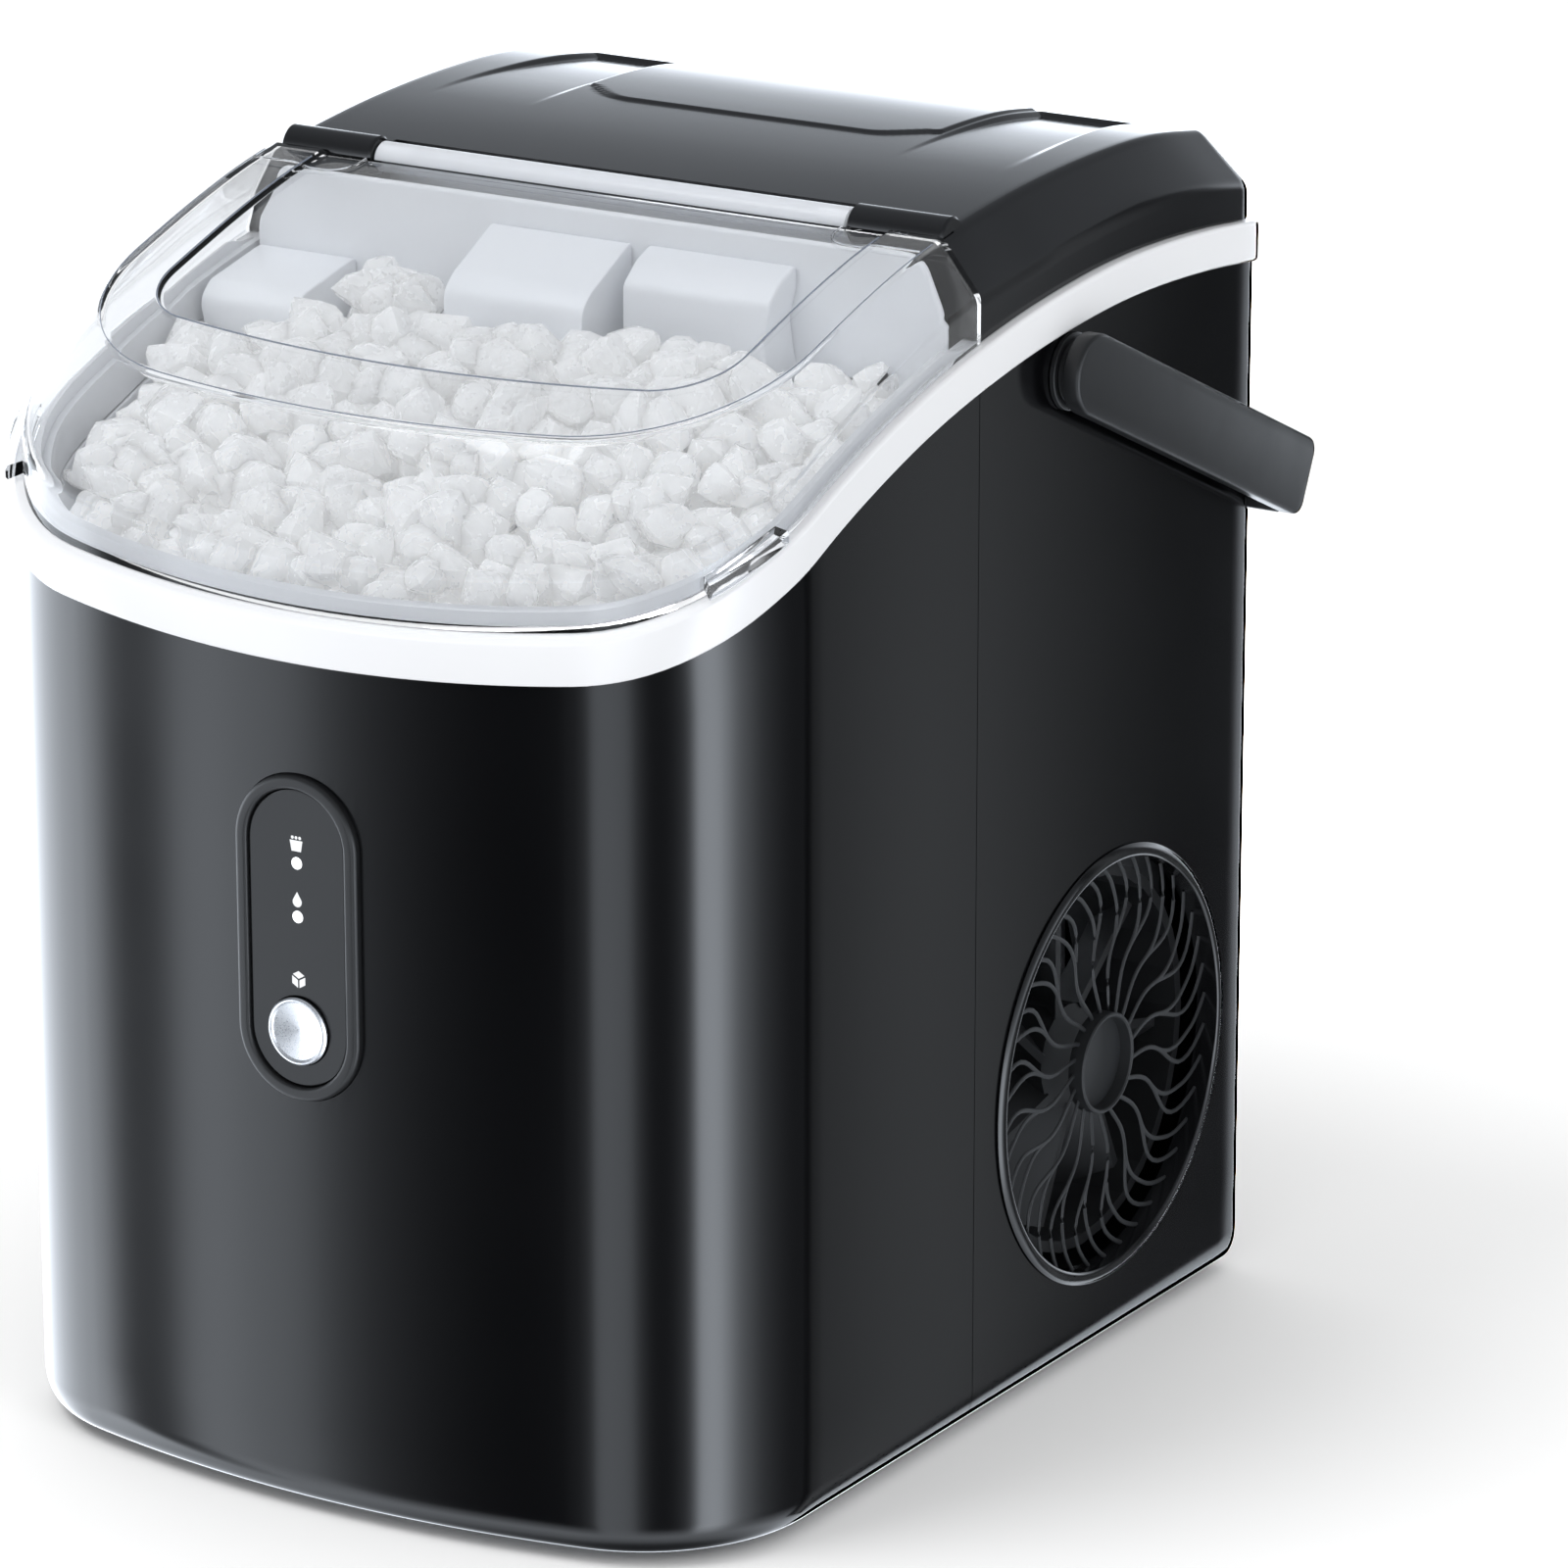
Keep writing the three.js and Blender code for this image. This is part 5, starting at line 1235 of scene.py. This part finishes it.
def make_world():
    """A studio that is plain in diffuse light and banded in reflections."""
    world = bpy.data.worlds.new("studio")
    bpy.context.scene.world = world
    world.use_nodes = True
    tree = world.node_tree
    tree.nodes.clear()

    def maths(operation, *values):
        node = add_node(tree, "Math")
        node.operation = operation
        for socket, value in zip(node.inputs, values):
            if isinstance(value, bpy.types.NodeSocket):
                tree.links.new(value, socket)
            else:
                socket.default_value = value
        return node.outputs["Value"]

    def curved(points, value, low, high):
        share = maths("DIVIDE", maths("SUBTRACT", value, low), high - low)
        node = curve_node(tree, points, low, high)
        set_sockets(node, {"Value": share})
        return maths("MULTIPLY", node.outputs["Value"], STUDIO_TOP)

    def blended(a, b, value, start, end):
        """From a at the start value to b at the end value."""
        factor = add_node(tree, "MapRange", Value=value, From_Min=start, From_Max=end).outputs["Result"]
        rest = maths("SUBTRACT", 1, factor)
        return maths("ADD", maths("MULTIPLY", a, rest), maths("MULTIPLY", b, factor))

    place = add_node(tree, "TexCoord").outputs["Generated"]
    x, y, z = add_node(tree, "SeparateXYZ", Vector=place).outputs
    azimuth = maths("DEGREES", maths("ARCTAN2", x, maths("MULTIPLY", y, -1)))
    elevation = maths("DEGREES", maths("ARCSINE", z))
    low = curved(LOW_STUDIO, azimuth, -180, 180)
    high = curved(HIGH_STUDIO, elevation, 0, 90)
    low = blended(low, curved(STEEP_STUDIO, elevation, -90, -20), elevation, -30, -46)
    mixed = blended(low, high, elevation, -3, 3)
    rays = add_node(tree, "LightPath").outputs
    # A ray through clear plastic counts as glossy too, so it is taken out of the mirrored ones.
    mirrored_ray = maths("SUBTRACT", rays["Is Glossy Ray"], rays["Is Transmission Ray"])
    glossy = maths("MULTIPLY", mixed, maths("MAXIMUM", mirrored_ray, 0))
    diffuse = maths("MULTIPLY", rays["Is Diffuse Ray"], DIFFUSE_LIGHT)
    plain = maths("MAXIMUM", rays["Is Camera Ray"], rays["Is Transmission Ray"])
    output = add_node(tree, "OutputWorld")
    added = add_node(tree, "AddShader")
    set_sockets(output, {"Surface": added.outputs["Shader"]})
    parts = ((COOL_WHITE, glossy), (WHITE, maths("ADD", diffuse, plain)))
    for slot, (colour, strength) in enumerate(parts):
        background = add_node(tree, "Background", Color=colour, Strength=strength)
        tree.links.new(background.outputs["Background"], added.inputs[slot])


def make_card(name, corners):
    """A flat four-cornered sheet of the studio."""
    mesh = bpy.data.meshes.new(name)
    mesh.from_pydata(corners, [], [(0, 1, 2, 3)])
    return add_object(name, mesh)


def glow_material():
    """Light that is strongest in the middle of the card and fades out towards its sides."""
    material = bpy.data.materials.new("side_glow")
    material.use_nodes = True
    tree = material.node_tree
    tree.nodes.clear()
    place = add_node(tree, "TexCoord").outputs["UV"]
    across = add_node(tree, "SeparateXYZ", Vector=place).outputs["X"]
    ramp = add_node(tree, "ValToRGB", Fac=across)
    ramp.color_ramp.interpolation = "B_SPLINE"
    for spot, _ in SIDE_LEVELS[2:]:
        ramp.color_ramp.elements.new(spot)
    for element, (spot, level) in zip(ramp.color_ramp.elements, SIDE_LEVELS, strict=True):
        element.position = spot
        element.color = (level * 0.9, level * 0.95, level, 1)
    glow = add_node(tree, "Emission", Color=ramp.outputs["Color"])
    add_node(tree, "OutputMaterial", Surface=glow.outputs["Emission"])
    return material


def make_side_panel():
    """A soft upright light beyond the right side that only its reflection shows."""
    along = Vector((0.85, -0.53, 0)) * 0.12
    middle = Vector((0.113 + 0.53 * 0.5, -0.016 + 0.85 * 0.5, 0))
    rise = Vector((0, 0, 0.5))
    corners = [middle - along - rise, middle + along - rise, middle + along + rise, middle - along + rise]
    panel = make_card("side_glow", corners)
    layer = panel.data.uv_layers.new(name="UVMap")
    for loop, uv in zip(layer.data, ((0, 0), (1, 0), (1, 1), (0, 1)), strict=True):
        loop.uv = uv
    panel.data.materials.append(glow_material())
    panel.visible_camera = False
    panel.visible_diffuse = False
    panel.visible_transmission = False
    panel.visible_shadow = False


def make_floor():
    s = FLOOR_HALF
    floor = make_card("floor", [(-s, -s, 0), (s, -s, 0), (s, s, 0), (-s, s, 0)])
    floor.data.materials.append(Surface("floor_paper", (0.99, 0.99, 0.99), 0.9).material)
    floor.visible_glossy = False


def make_light(name, place, size, power):
    """A round soft light that points at the machine. Reflections don't show it."""
    data = bpy.data.lights.new(name, "AREA")
    data.shape = "DISK"
    data.size = size
    data.energy = power
    lamp = add_object(name, data)
    lamp.location = place
    lamp.rotation_euler = (LIGHT_TARGET - Vector(place)).to_track_quat("-Z", "Y").to_euler()
    lamp.visible_glossy = False


def make_camera():
    data = bpy.data.cameras.new("camera")
    data.lens = CAMERA_LENS
    data.sensor_width = 36
    data.clip_end = 50
    camera = add_object("camera", data)
    a, e = CAMERA_AZIMUTH, CAMERA_ELEVATION
    right = Vector((math.cos(a), math.sin(a), 0))
    back = Vector((math.sin(a) * math.cos(e), -math.cos(a) * math.cos(e), math.sin(e)))
    camera.matrix_world = Matrix((right, back.cross(right), back)).transposed().to_4x4()
    camera.location = CAMERA_PLACE
    bpy.context.scene.camera = camera


make_camera()
make_wrap()
make_rear_shell()
make_trim()
make_hood()
make_lid()
make_edge_lines()
make_bin()
make_ice()
make_bezel()
make_face()
make_lamps()
make_prints()
make_button()
make_grille()
make_handle()
make_fittings()
finish_cad_nodes()
make_world()
make_side_panel()
make_floor()
make_light("key", (-0.9, -1.2, 2.6), 1.4, 30)
make_light("fill", (2.2, -0.9, 1.4), 1.2, 9)
bpy.context.scene.view_settings.view_transform = "Standard"
